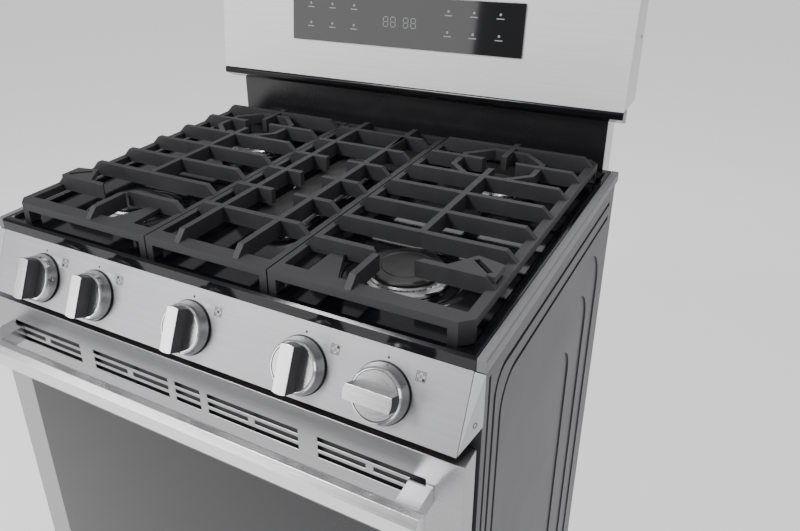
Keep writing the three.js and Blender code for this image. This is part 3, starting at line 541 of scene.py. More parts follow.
class Sculpt:
    """A piece while it is being modelled: closed shapes laid into one mesh."""

    def __init__(self, *finishes: Finish) -> None:
        """Args:
            finishes: the piece's finishes; shapes take the one whose index is in self.coat.
        """
        self.mesh = bmesh.new()
        self.finishes = finishes
        self.coat = 0

    def _keep(self, shape: bmesh.types.BMesh, place: Optional[Matrix] = None) -> "Sculpt":
        """Lays a finished shape into the piece.

        Args:
            shape: the shape, which is used up.
            place: where it goes.

        Returns:
            The piece.
        """
        if place is not None:
            bmesh.ops.transform(shape, matrix=place, verts=shape.verts)
        bmesh.ops.recalc_face_normals(shape, faces=shape.faces)
        for face in shape.faces:
            face.material_index = self.coat
        carrier = bpy.data.meshes.new("carrier")
        shape.to_mesh(carrier)
        self.mesh.from_mesh(carrier)
        bpy.data.meshes.remove(carrier)
        shape.free()
        return self

    @staticmethod
    def _soften(shape: bmesh.types.BMesh, radius: float, segments: int, angle: float = 25.0) -> None:
        """Bevels a shape's sharp edges.

        Args:
            shape: the shape.
            radius: the bevel's width.
            segments: its steps.
            angle: edges that turn by more than this, in degrees, are sharp.
        """
        limit = math.radians(angle)
        sharp = [e for e in shape.edges if len(e.link_faces) == 2 and e.calc_face_angle(0.0) > limit]
        if radius > 0 and sharp:
            bmesh.ops.bevel(
                shape,
                geom=sharp,
                offset=radius,
                offset_type="OFFSET",
                segments=segments,
                profile=0.5,
                affect="EDGES",
                clamp_overlap=True,
                material=-1,
            )

    def block(
        self,
        low: Sequence[float],
        high: Sequence[float],
        radius: float = 0.0,
        segments: int = 2,
        place: Optional[Matrix] = None,
    ) -> "Sculpt":
        """Adds a box with rounded edges.

        Args:
            low: its lowest corner.
            high: its highest corner.
            radius: the rounding.
            segments: steps of the rounding.
            place: a placement applied at the end.

        Returns:
            The piece.
        """
        shape = bmesh.new()
        size = [b - a for a, b in zip(low, high)]
        middle = [(a + b) / 2 for a, b in zip(low, high)]
        bmesh.ops.create_cube(shape, size=1.0)
        bmesh.ops.scale(shape, vec=size, verts=shape.verts)
        bmesh.ops.translate(shape, vec=middle, verts=shape.verts)
        self._soften(shape, radius, segments)
        return self._keep(shape, place)

    def turned(self, profile: Sequence[tuple[float, float]], place: Matrix, steps: int = 48) -> "Sculpt":
        """Adds a shape turned around the placement's z.

        Args:
            profile: (radius, height) points from one end to the other.
            place: where the axis stands.
            steps: steps around.

        Returns:
            The piece.
        """
        shape = bmesh.new()
        points = [shape.verts.new((r, 0.0, h)) for r, h in profile]
        edges = [shape.edges.new(pair) for pair in zip(points, points[1:])]
        if profile[0][0] > 0 and profile[-1][0] > 0:
            edges.append(shape.edges.new((points[-1], points[0])))
        bmesh.ops.spin(
            shape,
            geom=points + edges,
            cent=(0, 0, 0),
            axis=(0, 0, 1),
            angle=FULL_TURN,
            steps=steps,
            use_merge=True,
        )
        bmesh.ops.remove_doubles(shape, verts=shape.verts, dist=1e-7)
        return self._keep(shape, place)

    def rod(self, start: Sequence[float], end: Sequence[float], radius: float, steps: int = 14) -> "Sculpt":
        """Adds a round bar with softened ends.

        Args:
            start: the middle of one end.
            end: the middle of the other.
            radius: the bar's radius.
            steps: steps around.

        Returns:
            The piece.
        """
        a, b = Vector(start), Vector(end)
        out = b - a
        across = ACROSS if abs(out.normalized().x) < 0.9 else TO_WALL
        length = out.length
        soft = min(radius * 0.25, length * 0.2)
        near_end = [(0, 0), (radius - soft, 0), (radius, soft)]
        far_end = [(radius, length - soft), (radius - soft, length), (0, length)]
        return self.turned(near_end + far_end, facing(a, across, out), steps)

    def prism(
        self,
        outline: Sequence[tuple[float, float]],
        height: float,
        place: Matrix,
        radius: float = 0.0,
        segments: int = 2,
    ) -> "Sculpt":
        """Adds a flat outline drawn out along the placement's z.

        Args:
            outline: (x, y) points in order.
            height: how far it is drawn out.
            place: where it goes.
            radius: rounding of its sharp edges.
            segments: steps of the rounding.

        Returns:
            The piece.
        """
        shape = bmesh.new()
        face = shape.faces.new([shape.verts.new((x, y, 0.0)) for x, y in outline])
        grown = bmesh.ops.extrude_face_region(shape, geom=[face])
        top = [v for v in grown["geom"] if isinstance(v, bmesh.types.BMVert)]
        bmesh.ops.translate(shape, vec=(0, 0, height), verts=top)
        bmesh.ops.recalc_face_normals(shape, faces=shape.faces)
        self._soften(shape, radius, segments)
        return self._keep(shape, place)

    def slab(
        self,
        width: float,
        depth: float,
        height: float,
        corner: float,
        place: Matrix,
        radius: float = 0.0,
        steps: int = 5,
    ) -> "Sculpt":
        """Adds a plate with round corners, centred on the placement.

        Args:
            width: size along x.
            depth: size along y.
            height: size along z.
            corner: radius of the four upright corners.
            place: where it goes.
            radius: rounding of the other edges.
            steps: steps of a corner.

        Returns:
            The piece.
        """
        shape = bmesh.new()
        bmesh.ops.create_grid(shape, x_segments=1, y_segments=1, size=0.5)
        bmesh.ops.scale(shape, vec=(width, depth, 1), verts=shape.verts)
        bmesh.ops.bevel(
            shape,
            geom=shape.verts[:],
            offset=corner,
            offset_type="OFFSET",
            segments=steps,
            profile=0.5,
            affect="VERTICES",
            material=-1,
        )
        grown = bmesh.ops.extrude_face_region(shape, geom=shape.faces[:])
        top = [v for v in grown["geom"] if isinstance(v, bmesh.types.BMVert)]
        bmesh.ops.translate(shape, vec=(0, 0, height), verts=top)
        bmesh.ops.recalc_face_normals(shape, faces=shape.faces)
        self._soften(shape, radius, 2, 50.0)
        return self._keep(shape, place)

    def from_node(self, node: str, radius: float = 0.0, segments: int = 2, angle: float = 28.0) -> "Sculpt":
        """Adds a CAD node's solid with merged corners, clean faces and rounded edges.

        Args:
            node: the node's name.
            radius: rounding of its sharp edges.
            segments: steps of the rounding.
            angle: edges that turn by more than this are sharp.

        Returns:
            The piece.
        """
        shape = bmesh.new()
        shape.from_mesh(frame["nodes"][node].data)
        bmesh.ops.remove_doubles(shape, verts=shape.verts, dist=3e-6)
        bmesh.ops.dissolve_limit(shape, angle_limit=math.radians(0.6), verts=shape.verts, edges=shape.edges)
        self._soften(shape, radius, segments, angle)
        return self._keep(shape)

    def ready(self, name: str, body: str, slot: str, *nodes: str, smooth: float = 32.0) -> bpy.types.Object:
        """Turns the piece into an object that rides on its body.

        Args:
            name: the object's name.
            body: the CAD body it rides on.
            slot: the record's material slot; not used.
            nodes: CAD nodes it stands for.
            smooth: edges that turn by less than this, in degrees, are shaded smooth.

        Returns:
            The object.
        """
        data = bpy.data.meshes.new(name)
        self.mesh.to_mesh(data)
        self.mesh.free()
        for finish in self.finishes:
            data.materials.append(finish.material())
        data.polygons.foreach_set("use_smooth", [True] * len(data.polygons))
        data.set_sharp_from_angle(angle=math.radians(smooth))
        made = bpy.data.objects.new(name, data)
        bpy.context.scene.collection.objects.link(made)
        even = made.modifiers.new("even_shading", "WEIGHTED_NORMAL")
        even.keep_sharp = True
        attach(made, body)
        if nodes:
            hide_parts(*nodes)
        log.info("%s: %d faces on %s", name, len(data.polygons), body)
        return made


def joint(name: str) -> tuple[Vector, Vector]:
    """A joint's pivot and axis at rest."""
    found = next(j for j in frame["joints"] if j["name"] == name)
    return Vector(found.get("pos_m", (0, 0, 0))), Vector(found["axis"])


def restyle(
    node: str,
    finish: Finish,
    body: str,
    slot: str,
    radius: float = 0.0006,
    angle: float = 28.0,
    segments: int = 2,
) -> bpy.types.Object:
    """Stands a rounded copy of a CAD node in its place.

    Args:
        node: the node's name.
        finish: what it wears.
        body: the body it rides on.
        slot: the record's material slot.
        radius: rounding of its edges.
        angle: which edges are sharp.
        segments: steps of the rounding.

    Returns:
        The object.
    """
    return Sculpt(finish).from_node(node, radius, segments, angle).ready(node + "_skin", body, slot, node)


def screw(
    piece: Sculpt, origin: Vector, out: Vector, radius: float = 0.004, coats: tuple[int, int] = (0, 1)
) -> None:
    """Adds a pan-head screw whose cross recess is drawn as a dark cross, painted shade of the recess.

    Args:
        piece: the piece it is laid into.
        origin: the middle of the head's seat.
        out: the way the head faces.
        radius: the head's radius.
        coats: the head's finish, and the dark finish of the cross that paints the recess's shade.
    """
    place = facing(origin, ACROSS if abs(out.x) < 0.9 else TO_WALL, out)
    shoulder = [(radius, radius * 0.25), (radius * 0.75, radius * 0.5)]
    piece.coat = coats[0]
    piece.turned([(0, 0), (radius, 0), *shoulder, (0, radius * 0.58)], place, 20)
    # Dark cross: painted shade standing in for the cross recess.
    piece.coat = coats[1]
    arm, thin, top = radius * 0.62, radius * 0.12, radius * 0.62
    piece.block((-arm, -thin, radius * 0.2), (arm, thin, top), place=place)
    piece.block((-thin, -arm, radius * 0.2), (thin, arm, top), place=place)
    piece.coat = coats[0]


def hoop(
    name: str, points: Iterable[Sequence[float]], radius: float, finish: Finish, body: str
) -> bpy.types.Object:
    """A round tube through points that joins its own start.

    Args:
        name: the object's name.
        points: the centreline.
        radius: the tube's radius.
        finish: what it wears.
        body: the body it rides on.

    Returns:
        The object.
    """
    curve = bpy.data.curves.new(name + "_line", "CURVE")
    curve.dimensions = "3D"
    curve.bevel_depth = radius
    curve.bevel_resolution = 3
    line = curve.splines.new("POLY")
    path = list(points)
    line.points.add(len(path) - 1)
    for knot, where in zip(line.points, path):
        knot.co = (*where, 1.0)
    line.use_cyclic_u = True
    holder = bpy.data.objects.new(name + "_line", curve)
    bpy.context.scene.collection.objects.link(holder)
    bpy.context.view_layer.update()
    data = bpy.data.meshes.new_from_object(holder)
    bpy.data.objects.remove(holder)
    data.name = name
    data.materials.append(finish.material())
    made = bpy.data.objects.new(name, data)
    bpy.context.scene.collection.objects.link(made)
    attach(made, body)
    log.info("%s: tube of %d points on %s", name, len(path), body)
    return made


def round_corners(
    low: Sequence[float], high: Sequence[float], corner: float, y: float, steps: int = 6
) -> list[tuple[float, float, float]]:
    """Points around an upright rectangle with round corners.

    Args:
        low: its lowest x and z.
        high: its highest x and z.
        corner: the corners' radius.
        y: where it stands.
        steps: steps of each corner.

    Returns:
        The points, in order.
    """
    centres = [
        (high[0] - corner, high[1] - corner, 0.0),
        (low[0] + corner, high[1] - corner, 90.0),
        (low[0] + corner, low[1] + corner, 180.0),
        (high[0] - corner, low[1] + corner, 270.0),
    ]
    points = []
    for x, z, start in centres:
        for i in range(steps + 1):
            turn = math.radians(start + 90.0 * i / steps)
            points.append((x + corner * math.cos(turn), y, z + corner * math.sin(turn)))
    return points


# ---- Sub-assemblies ---------------------------------------------------------


@dataclass
class Backguard:
    """The head, its black band, the splash panel and the touch glass."""

    mark_rows: int = 2
    mark_columns: int = 9
    mark_pitch: float = 0.044
    clock_half: float = 0.05
    print_height: float = 0.0002
    segment: tuple[float, float] = (0.007, 0.0011)
    upright: tuple[float, float] = (0.0011, 0.0062)
    fold: float = 0.0012
    screw_radius: float = 0.0042
    end_screw_radius: float = 0.0036

    def build(self) -> None:
        """Models and dresses the backguard."""
        restyle("backguard_housing", STAINLESS_HEAD, ROOT, "stainless", self.fold)
        restyle("splash_panel", SPLASH_ENAMEL, ROOT, "enamel", 0.0008)
        self.band()
        self.touch_glass()
        self.back_screws()

    def band(self) -> None:
        """The black band under the head, and a thin bright metal lip along the splash panel's top, a painted
        highlight that stands in for the glint on that edge.
        """
        piece = Sculpt(BAND_ENAMEL).from_node("backguard_band", 0.0012, 3)
        piece.ready("backguard_band_skin", ROOT, "enamel", "backguard_band")
        # Thin bright metal strip: painted highlight along the edge between the band and the splash panel.
        lip = Sculpt(Bare("band_lip_highlight", (0.4, 0.4, 0.42), 0.2, 300.0))
        splash_low, splash_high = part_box("splash_panel")
        lip.block(
            (splash_low.x, splash_low.y - 0.0016, splash_high.z - 0.0022),
            (splash_high.x, splash_low.y - 0.0002, splash_high.z - 0.001),
            0.0003,
        )
        lip.ready("splash_lip", ROOT, "enamel")

    def touch_glass(self) -> None:
        """The dark glass in the head, with plain touch marks and a clock window."""
        restyle("touch_glass", BLACK_GLASS, ROOT, "black_glass", 0.0007)
        low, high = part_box("touch_glass")
        lean = Vector((0, high.y - low.y - 0.0032, high.z - low.z)).normalized()
        base = facing(Vector((0, low.y, low.z)), ACROSS, ACROSS.cross(lean))
        marks = Sculpt(PRINT_GREY)
        height = high.z - low.z
        thin = self.print_height
        for row in range(self.mark_rows):
            for column in range(self.mark_columns):
                x = (column - (self.mark_columns - 1) / 2) * self.mark_pitch
                if abs(x) < self.clock_half:
                    continue
                y = height * (0.3 + 0.4 * row)
                where = base @ Matrix.Translation((x, y, 0.0))
                marks.slab(0.013, 0.0016, thin, 0.0006, where, steps=3)
                marks.slab(0.004, 0.004, thin, 0.0018, where @ Matrix.Translation((0, 0.0065, 0)), steps=4)
        for x in (-0.026, -0.012, 0.012, 0.026):
            digit = base @ Matrix.Translation((x, height * 0.5, 0.0))
            for y in (-0.008, 0.0, 0.008):
                marks.slab(*self.segment, thin, 0.0005, digit @ Matrix.Translation((0, y, 0)), steps=2)
            for side in (-0.0043, 0.0043):
                for y in (-0.004, 0.004):
                    beside = digit @ Matrix.Translation((side, y, 0))
                    marks.slab(*self.upright, thin, 0.0005, beside, steps=2)
        marks.ready("touch_marks", ROOT, "black_glass")

    def back_screws(self) -> None:
        """Screws on the housing's back and ends."""
        low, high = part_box("backguard_housing")
        piece = Sculpt(ZINC, BLACK_PLASTIC)
        for x in (-0.33, -0.17, 0.0, 0.17, 0.33):
            for z in (low.z + 0.02, high.z - 0.025):
                screw(piece, Vector((x, high.y - 0.0006, z)), TO_WALL, self.screw_radius)
        for side in (-1, 1):
            edge = high.x if side > 0 else low.x
            seat = Vector((edge - side * 0.0012, high.y - 0.02, high.z - 0.06))
            screw(piece, seat, Vector((side, 0, 0)), self.end_screw_radius)
        piece.ready("housing_screws", ROOT, "galvanised")


@dataclass
class Burner:
    """One sealed burner: ported base, polished ring, cap and igniter."""

    name: str
    ports: int = 36
    oval: bool = False
    side_ports: int = 22
    end_ports: int = 12
    steps: int = 56
    oval_steps: int = 14
    igniter_gap: float = 0.006
    post: Profile = (
        (0, 0),
        (0.0042, 0),
        (0.0042, 0.001),
        (0.0026, 0.0014),
        (0.0026, 0.0092),
        (0.0018, 0.01),
        (0, 0.01),
    )
    pin: Profile = (
        (0, 0.009),
        (0.0007, 0.009),
        (0.0007, 0.0132),
        (0.0013, 0.0136),
        (0.0009, 0.015),
        (0, 0.0152),
    )

    def build(self) -> None:
        """Models and dresses the burner."""
        if self.oval:
            self.oval_burner()
        else:
            self.round_burner()

    def round_burner(self) -> None:
        """A burner turned around one axis."""
        low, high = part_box("burner_base_" + self.name)
        cap_low, cap_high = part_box("burner_cap_" + self.name)
        middle = (low + high) / 2
        seat = Matrix.Translation((middle.x, middle.y, cap_low.z))
        r = (high.x - low.x) / 2
        cap = (cap_high.x - cap_low.x) / 2
        height = cap_low.z - FIT_GAP - (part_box("cooktop")[1].z - WELL_DEPTH + FIT_GAP)
        base = Sculpt(CAST_ALUMINIUM, BLACK_PLASTIC, POLISHED)
        head = r - 0.006
        base.turned(
            [
                (0.008, low.z - cap_low.z),
                (r - 0.018, low.z - cap_low.z),
                (r - 0.018, -height),
                (r - 0.004, -height),
                (r - 0.002, -height + 0.001),
                (r - 0.002, -height + 0.003),
                (head, -height + 0.006),
                (head, -0.0026),
                (head - 0.002, -0.0006),
                (0.008, -0.0006),
            ],
            seat,
            self.steps,
        )
        base.coat = 2
        base.turned(
            [
                (r - 0.0035, -height + 0.0002),
                (r, -height + 0.0002),
                (r, -height + 0.0032),
                (r - 0.0016, -height + 0.0044),
                (r - 0.0035, -height + 0.0036),
            ],
            seat,
            self.steps,
        )
        # Ports: black blocks set into the head, painted shade standing in for the dark insides of the port
        # holes.
        base.coat = 1
        for i in range(self.ports):
            turn = seat @ Matrix.Rotation(FULL_TURN * i / self.ports, 4, "Z")
            inner, outer = head - 0.002, head + 0.0002
            base.block((inner, -0.0008, -height + 0.0072), (outer, 0.0008, -0.0028), place=turn)
        base.ready("burner_base_" + self.name + "_skin", ROOT, "aluminium", "burner_base_" + self.name)
        top = Sculpt(CAP_IRON)
        top.turned(
            [
                (0, 0.0),
                (cap - 0.003, 0.0),
                (cap, 0.0012),
                (cap, 0.0034),
                (cap - 0.0012, 0.0048),
                (cap - 0.005, 0.0058),
                (cap * 0.72, 0.0058),
                (cap * 0.7, 0.0052),
                (cap * 0.66, 0.0052),
                (cap * 0.64, 0.006),
                (cap * 0.3, 0.0064),
                (0, 0.0066),
            ],
            seat,
            self.steps,
        )
        top.ready("burner_cap_" + self.name + "_skin", ROOT, "cap_iron", "burner_cap_" + self.name)
        self.igniter(Vector((middle.x, middle.y, cap_low.z - height)), r + self.igniter_gap, 215.0)

    def igniter(self, middle: Vector, reach: float, degrees: float) -> None:
        """A ceramic post with a steel pin beside the base.

        Args:
            middle: the burner's middle on the cooktop.
            reach: distance from the middle.
            degrees: the way round.
        """
        turn = math.radians(degrees)
        foot = middle + Vector((math.cos(turn) * reach, math.sin(turn) * reach, 0.0))
        piece = Sculpt(CERAMIC, POLISHED)
        piece.turned(self.post, Matrix.Translation(foot), 20)
        piece.coat = 1
        piece.turned(self.pin, Matrix.Translation(foot), 12)
        piece.ready("igniter_" + self.name, ROOT, "aluminium")

    def oval_burner(self) -> None:
        """A long burner with round ends under the centre grate."""
        low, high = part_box("burner_base_" + self.name)
        cap_low, cap_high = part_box("burner_cap_" + self.name)
        middle = (low + high) / 2
        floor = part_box("cooktop")[1].z - WELL_DEPTH + FIT_GAP
        half = (high.x - low.x) / 2
        length = high.y - low.y
        base = Sculpt(CAST_ALUMINIUM, BLACK_PLASTIC, POLISHED)

        def oval(width: float, depth: float, bottom: float, top: float, soft: float) -> None:
            """Adds a slab with half-round ends."""
            where = Matrix.Translation((middle.x, middle.y, bottom))
            base.slab(width, depth, top - bottom, width / 2 - 1e-5, where, soft, self.oval_steps)

        oval(2 * half - 0.036, length - 0.036, low.z, floor + 0.002, 0.0)
        base.coat = 2
        oval(2 * half, length, floor, floor + 0.0042, 0.0016)
        base.coat = 0
        oval(2 * half - 0.009, length - 0.009, floor + 0.0036, floor + 0.006, 0.001)
        oval(2 * half - 0.013, length - 0.013, floor + 0.005, cap_low.z - 0.0006, 0.0012)
        # Ports: black blocks set into the head, painted shade standing in for the dark insides of the port
        # holes.
        base.coat = 1
        side = half - 0.0065
        straight = length - 2 * half
        bottom, top_edge = floor + 0.007, cap_low.z - 0.003
        for i in range(self.side_ports):
            y = middle.y - straight / 2 + straight * (i + 0.5) / self.side_ports
            for sign in (-1, 1):
                x = middle.x + sign * side
                outer = x + 0.0003 if sign > 0 else x + 0.0012
                base.block((x - 0.0012, y - 0.0009, bottom), (outer, y + 0.0009, top_edge))
        for sign, start in ((-1, 180.0), (1, 0.0)):
            end = Matrix.Translation((middle.x, middle.y + sign * straight / 2, 0))
            for i in range(self.end_ports):
                turn = math.radians(start + 180.0 / self.end_ports * (i + 0.5))
                where = end @ Matrix.Rotation(turn, 4, "Z")
                base.block((side - 0.001, -0.0009, bottom), (side + 0.0003, 0.0009, top_edge), place=where)
        base.ready("burner_base_" + self.name + "_skin", ROOT, "aluminium", "burner_base_" + self.name)
        top = Sculpt(CAP_IRON)
        width, depth = cap_high.x - cap_low.x, cap_high.y - cap_low.y
        seat = Matrix.Translation((middle.x, middle.y, cap_low.z))
        top.slab(width, depth, 0.0052, width / 2 - 1e-5, seat, 0.0016, self.oval_steps)
        inner = width * 0.62
        raised = Matrix.Translation((middle.x, middle.y, cap_low.z + 0.005))
        top.slab(inner, depth - width + inner, 0.0009, inner / 2 - 1e-5, raised, 0.0007, self.oval_steps)
        top.ready("burner_cap_" + self.name + "_skin", ROOT, "cap_iron", "burner_cap_" + self.name)
        self.igniter(Vector((middle.x, middle.y, floor)), half + self.igniter_gap, 180.0)


@dataclass
class Cooktop:
    """The black pan, the side strips and the shallow burner seats."""

    seat_ring: float = 0.02
    burners: tuple[Burner, ...] = (
        Burner("front_left", 32),
        Burner("rear_left", 28),
        Burner("front_right", 40),
        Burner("rear_right", 24),
        Burner("centre", oval=True),
    )

    def build(self) -> None:
        """Models and dresses the cooktop."""
        restyle("cooktop", BLACK_ENAMEL, ROOT, "enamel", 0.0022, segments=3)
        for side in ("left", "right"):
            restyle("side_strip_" + side, STRIP_GREY, ROOT, "satin_strip", 0.0009)
        self.seats()
        for burner in self.burners:
            burner.build()

    def seats(self) -> None:
        """A low pressed ring in the well around each round burner."""
        piece = Sculpt(BLACK_ENAMEL)
        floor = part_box("cooktop")[1].z - WELL_DEPTH
        for burner in self.burners:
            if burner.oval:
                continue
            low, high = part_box("burner_base_" + burner.name)
            middle = (low + high) / 2
            r = (high.x - low.x) / 2 + self.seat_ring
            piece.turned(
                [
                    (r - 0.008, -0.0004),
                    (r + 0.008, -0.0004),
                    (r + 0.004, 0.0009),
                    (r, 0.0014),
                    (r - 0.004, 0.0009),
                ],
                Matrix.Translation((middle.x, middle.y, floor)),
                64,
            )
        piece.ready("burner_seats", ROOT, "enamel")


@dataclass
class Grates:
    """Three continuous cast-iron grates with rubber rests."""

    softness: float = 0.0016
    rest_inset: float = 0.0105
    middle_inset: float = 0.0055
    rest: Profile = ((0, -0.0009), (0.0038, -0.0009), (0.0042, -0.0004), (0.0042, 0.0008), (0, 0.0008))

    def build(self) -> None:
        """Models and dresses the grates."""
        for side in ("left", "centre", "right"):
            body = side + "_grate"
            node = "grate_" + side
            piece = Sculpt(GRATE_IRON, BLACK_PLASTIC).from_node(node, self.softness, 2, 20.0)
            low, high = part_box(node)
            piece.coat = 1
            for x, outer in ((low.x, side == "left"), (high.x, side == "right")):
                inset = self.rest_inset if outer else self.middle_inset
                inward = inset if x == low.x else -inset
                for y in (low.y + self.rest_inset, high.y - self.rest_inset):
                    piece.turned(self.rest, Matrix.Translation((x + inward, y, low.z)), 18)
            piece.ready(node + "_skin", body, "iron", node)


@dataclass
class ControlPanel:
    """The slanted panel, its end caps, print and knob collars."""

    knob_count: int = 5
    dot_up: float = 0.0396
    icon_across: float = 0.040
    icon_up: float = 0.0301
    ink: float = 0.0001
    screw_share: float = 0.66
    screw_head: Profile = (
        (0, 0),
        (0.0034, 0),
        (0.0034, 0.0019),
        (0.0026, 0.0019),
        (0.0026, 0.0012),
        (0, 0.0012),
    )

    def build(self) -> None:
        """Models and dresses the control panel."""
        restyle("control_panel", STAINLESS_FACE, ROOT, "stainless", 0.0009)
        for side, sign in (("left", -1), ("right", 1)):
            restyle("end_cap_" + side, CAP_GREY, ROOT, "cap_plastic", 0.0006, 15.0)
            self.cap_screw(sign)
        self.print_marks()
        for index in range(1, self.knob_count + 1):
            self.collar(index)
            Knob(index).build()
            restyle(f"valve_stem_{index}", CAST_ALUMINIUM, f"stem_{index}", "aluminium", 0.0003)

    def cap_screw(self, sign: int) -> None:
        """The sunk screw in an end cap.

        Args:
            sign: -1 for the left end, 1 for the right.
        """
        low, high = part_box("end_cap_" + ("right" if sign > 0 else "left"))
        inner = low.x if sign > 0 else high.x
        outer = high.x if sign > 0 else low.x
        slant = Vector((outer - inner, high.y - low.y, 0.0))
        out = Vector((abs(slant.y), -abs(slant.x), 0.0)).normalized()
        out.x *= sign
        share = self.screw_share
        where = Vector((inner + (outer - inner) * share, low.y + (high.y - low.y) * share, low.z + 0.027))
        piece = Sculpt(BLACK_PLASTIC, POLISHED)
        piece.turned(self.screw_head, facing(where - out * 0.0016, UPWARD, out), 20)
        piece.ready("cap_screw_" + ("right" if sign > 0 else "left"), ROOT, "cap_plastic")

    def print_marks(self) -> None:
        """A pointer dot over each knob and a small burner sign beside it."""
        piece = Sculpt(PRINT_BLACK)
        active = {1: (-1, -1), 2: (-1, 1), 3: (0, 0), 4: (1, 1), 5: (1, -1)}
        for index in range(1, self.knob_count + 1):
            origin, out = joint(f"knob_{index}_turn")
            face = facing(origin, ACROSS, out)
            dot = face @ Matrix.Translation((0.0, self.dot_up, 0.00002))
            piece.turned([(0, 0), (0.0015, 0), (0.0015, self.ink), (0, self.ink)], dot, 20)
            sign = face @ Matrix.Translation((self.icon_across, self.icon_up, 0.00002))
            self.burner_sign(piece, sign, active[index])
        piece.ready("panel_print", ROOT, "plastic")

    @staticmethod
    def burner_sign(piece: Sculpt, place: Matrix, active: tuple[int, int]) -> None:
        """A square of small circles in which one is filled.

        Args:
            piece: the piece it is laid into.
            place: the sign's middle.
            active: the filled circle's column and row.
        """
        half, line = 0.0056, 0.0006
        for a, b in (
            ((-half, -half), (half, -half + line)),
            ((-half, half - line), (half, half)),
            ((-half, -half), (-half + line, half)),
            ((half - line, -half), (half, half)),
        ):
            piece.block((*a, 0.0), (*b, 0.0001), place=place)
        for spot in ((-1, -1), (-1, 1), (1, 1), (1, -1), (0, 0)):
            where = place @ Matrix.Translation((spot[0] * 0.0031, spot[1] * 0.0031, 0.0))
            inner = 0.0 if spot == active else 0.0008
            outer = 0.0017 if spot == active else 0.0014
            piece.turned([(inner, 0), (outer, 0), (outer, 0.0001), (inner, 0.0001)], where, 14)

    def collar(self, index: int) -> None:
        """The black collar between the panel and a knob; its black ring also stands in for the shadow in the
        gap under the knob's skirt, painted shade.

        Args:
            index: which knob.
        """
        origin, out = joint(f"knob_{index}_turn")
        low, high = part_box(f"knob_{index}")
        r = (high.x - low.x) / 2
        piece = Sculpt(BLACK_PLASTIC)
        under = [(0.006, 0.0001), (r + 0.0012, 0.0001)]
        over = [(r + 0.0012, 0.0004), (r - 0.0008, 0.0007), (0.006, 0.0007)]
        piece.turned(under + over, facing(origin, ACROSS, out), 64)
        piece.ready(f"knob_collar_{index}", ROOT, "plastic")


@dataclass
class Knob:
    """A turned metal knob: conical skirt, polished ring and a tall grip bar."""

    index: int
    skirt: float = 0.034
    face_radius: float = 0.0296
    face: float = 0.0185
    top: float = 0.0375
    base: float = 0.0026
    grip_half: float = 0.0088
    grip_cap: float = 0.0012
    marks: int = 9
    steps: int = 80
    turned_on_index: int = 5

    def build(self) -> None:
        """Models and dresses the knob."""
        origin, out = joint(f"knob_{self.index}_turn")
        turned_on = self.index == self.turned_on_index
        place = facing(origin, ACROSS, out)
        if turned_on:
            place = place @ Matrix.Rotation(math.pi / 2, 4, "Z")
        skirt = Turned(f"knob_skirt_{self.index}", (0.5, 0.5, 0.51), tuple(origin), tuple(out), 0.22)
        grip = Brushed(f"knob_grip_{self.index}", (0.7, 0.7, 0.71), Axis.X if turned_on else Axis.Z, 0.26)
        piece = Sculpt(skirt, POLISHED, grip, PRINT_BLACK, GRIP_SIDE_PAINTED_SHADE)
        self.body(piece, place)
        self.grip(piece, place)
        piece.coat = 3
        self.print(piece, place)
        piece.ready(f"knob_{self.index}_skin", f"dial_{self.index}", "stainless", f"knob_{self.index}")

    def body(self, piece: Sculpt, place: Matrix) -> None:
        """The skirt, its foot edge, the polished ring and the dished face.

        Args:
            piece: the knob.
            place: the knob's placement.
        """
        r, f, h = self.skirt, self.face_radius, self.face
        piece.coat = 0
        piece.turned(
            [
                (0, self.base),
                (r - 0.0012, self.base),
                (r - 0.0002, self.base + 0.0006),
                (r, self.base + 0.0016),
                (f + 0.0012, h - 0.0022),
                (f + 0.0004, h - 0.0016),
                (0, h - 0.0016),
            ],
            place,
            self.steps,
        )
        piece.coat = 1
        piece.turned(
            [
                (f + 0.0005, h - 0.002),
                (f + 0.0006, h - 0.0013),
                (f - 0.0008, h),
                (f - 0.0016, h + 0.00005),
                (f - 0.0028, h - 0.001),
                (f - 0.0028, h - 0.002),
            ],
            place,
            self.steps,
        )
        piece.coat = 0
        dish = [(0, h - 0.002), (f - 0.0026, h - 0.002), (f - 0.0026, h - 0.0009), (0, h - 0.0007)]
        piece.turned(dish, place, self.steps)

    def grip(self, piece: Sculpt, place: Matrix) -> None:
        """The grip bar across the whole face, with its ends on the face's circle; its sides wear a
        near-black copy of the brushed metal as painted shade, under a thin bright top cap.

        Args:
            piece: the knob.
            place: the knob's placement.
        """
        half, reach = self.grip_half, self.face_radius - 0.0009
        arc = []
        for i in range(7):
            x = half * (1 - 2 * i / 6)
            arc.append((x, math.sqrt(reach * reach - x * x)))
        outline = arc + [(-x, -y) for x, y in arc]
        lid = self.grip_cap
        lifted = place @ Matrix.Translation((0, 0, self.face - lid))
        height = self.top - self.face + lid
        # The bar's body wears the near-black side finish, painted shade; only the thin cap on top keeps the
        # bright metal.
        piece.coat = 4
        piece.prism(outline, height - 0.0008, lifted)
        piece.coat = 2
        piece.prism(outline, lid, lifted @ Matrix.Translation((0, 0, height - lid)), 0.0005, 2)

    def print(self, piece: Sculpt, place: Matrix) -> None:
        """Small marks around the skirt.

        Args:
            piece: the knob.
            place: the knob's placement.
        """
        lean = math.atan2(self.skirt - self.face_radius - 0.0012, self.face - self.base - 0.0038)
        for step in range(self.marks):
            turn = place @ Matrix.Rotation(math.radians(-28.0 - 25.0 * step), 4, "Z")
            on_skirt = turn @ Matrix.Translation((0, self.skirt - 0.0016, self.base + 0.0058))
            mark = on_skirt @ Matrix.Rotation(lean, 4, "X")
            tall = 0.0019 if step % 2 else 0.0011
            piece.block((-0.0003, -0.0004, -tall), (0.0003, 0.0001, tall), place=mark)
            piece.block((0.0009, -0.0004, -0.0006), (0.0016, 0.0001, 0.0006), place=mark)


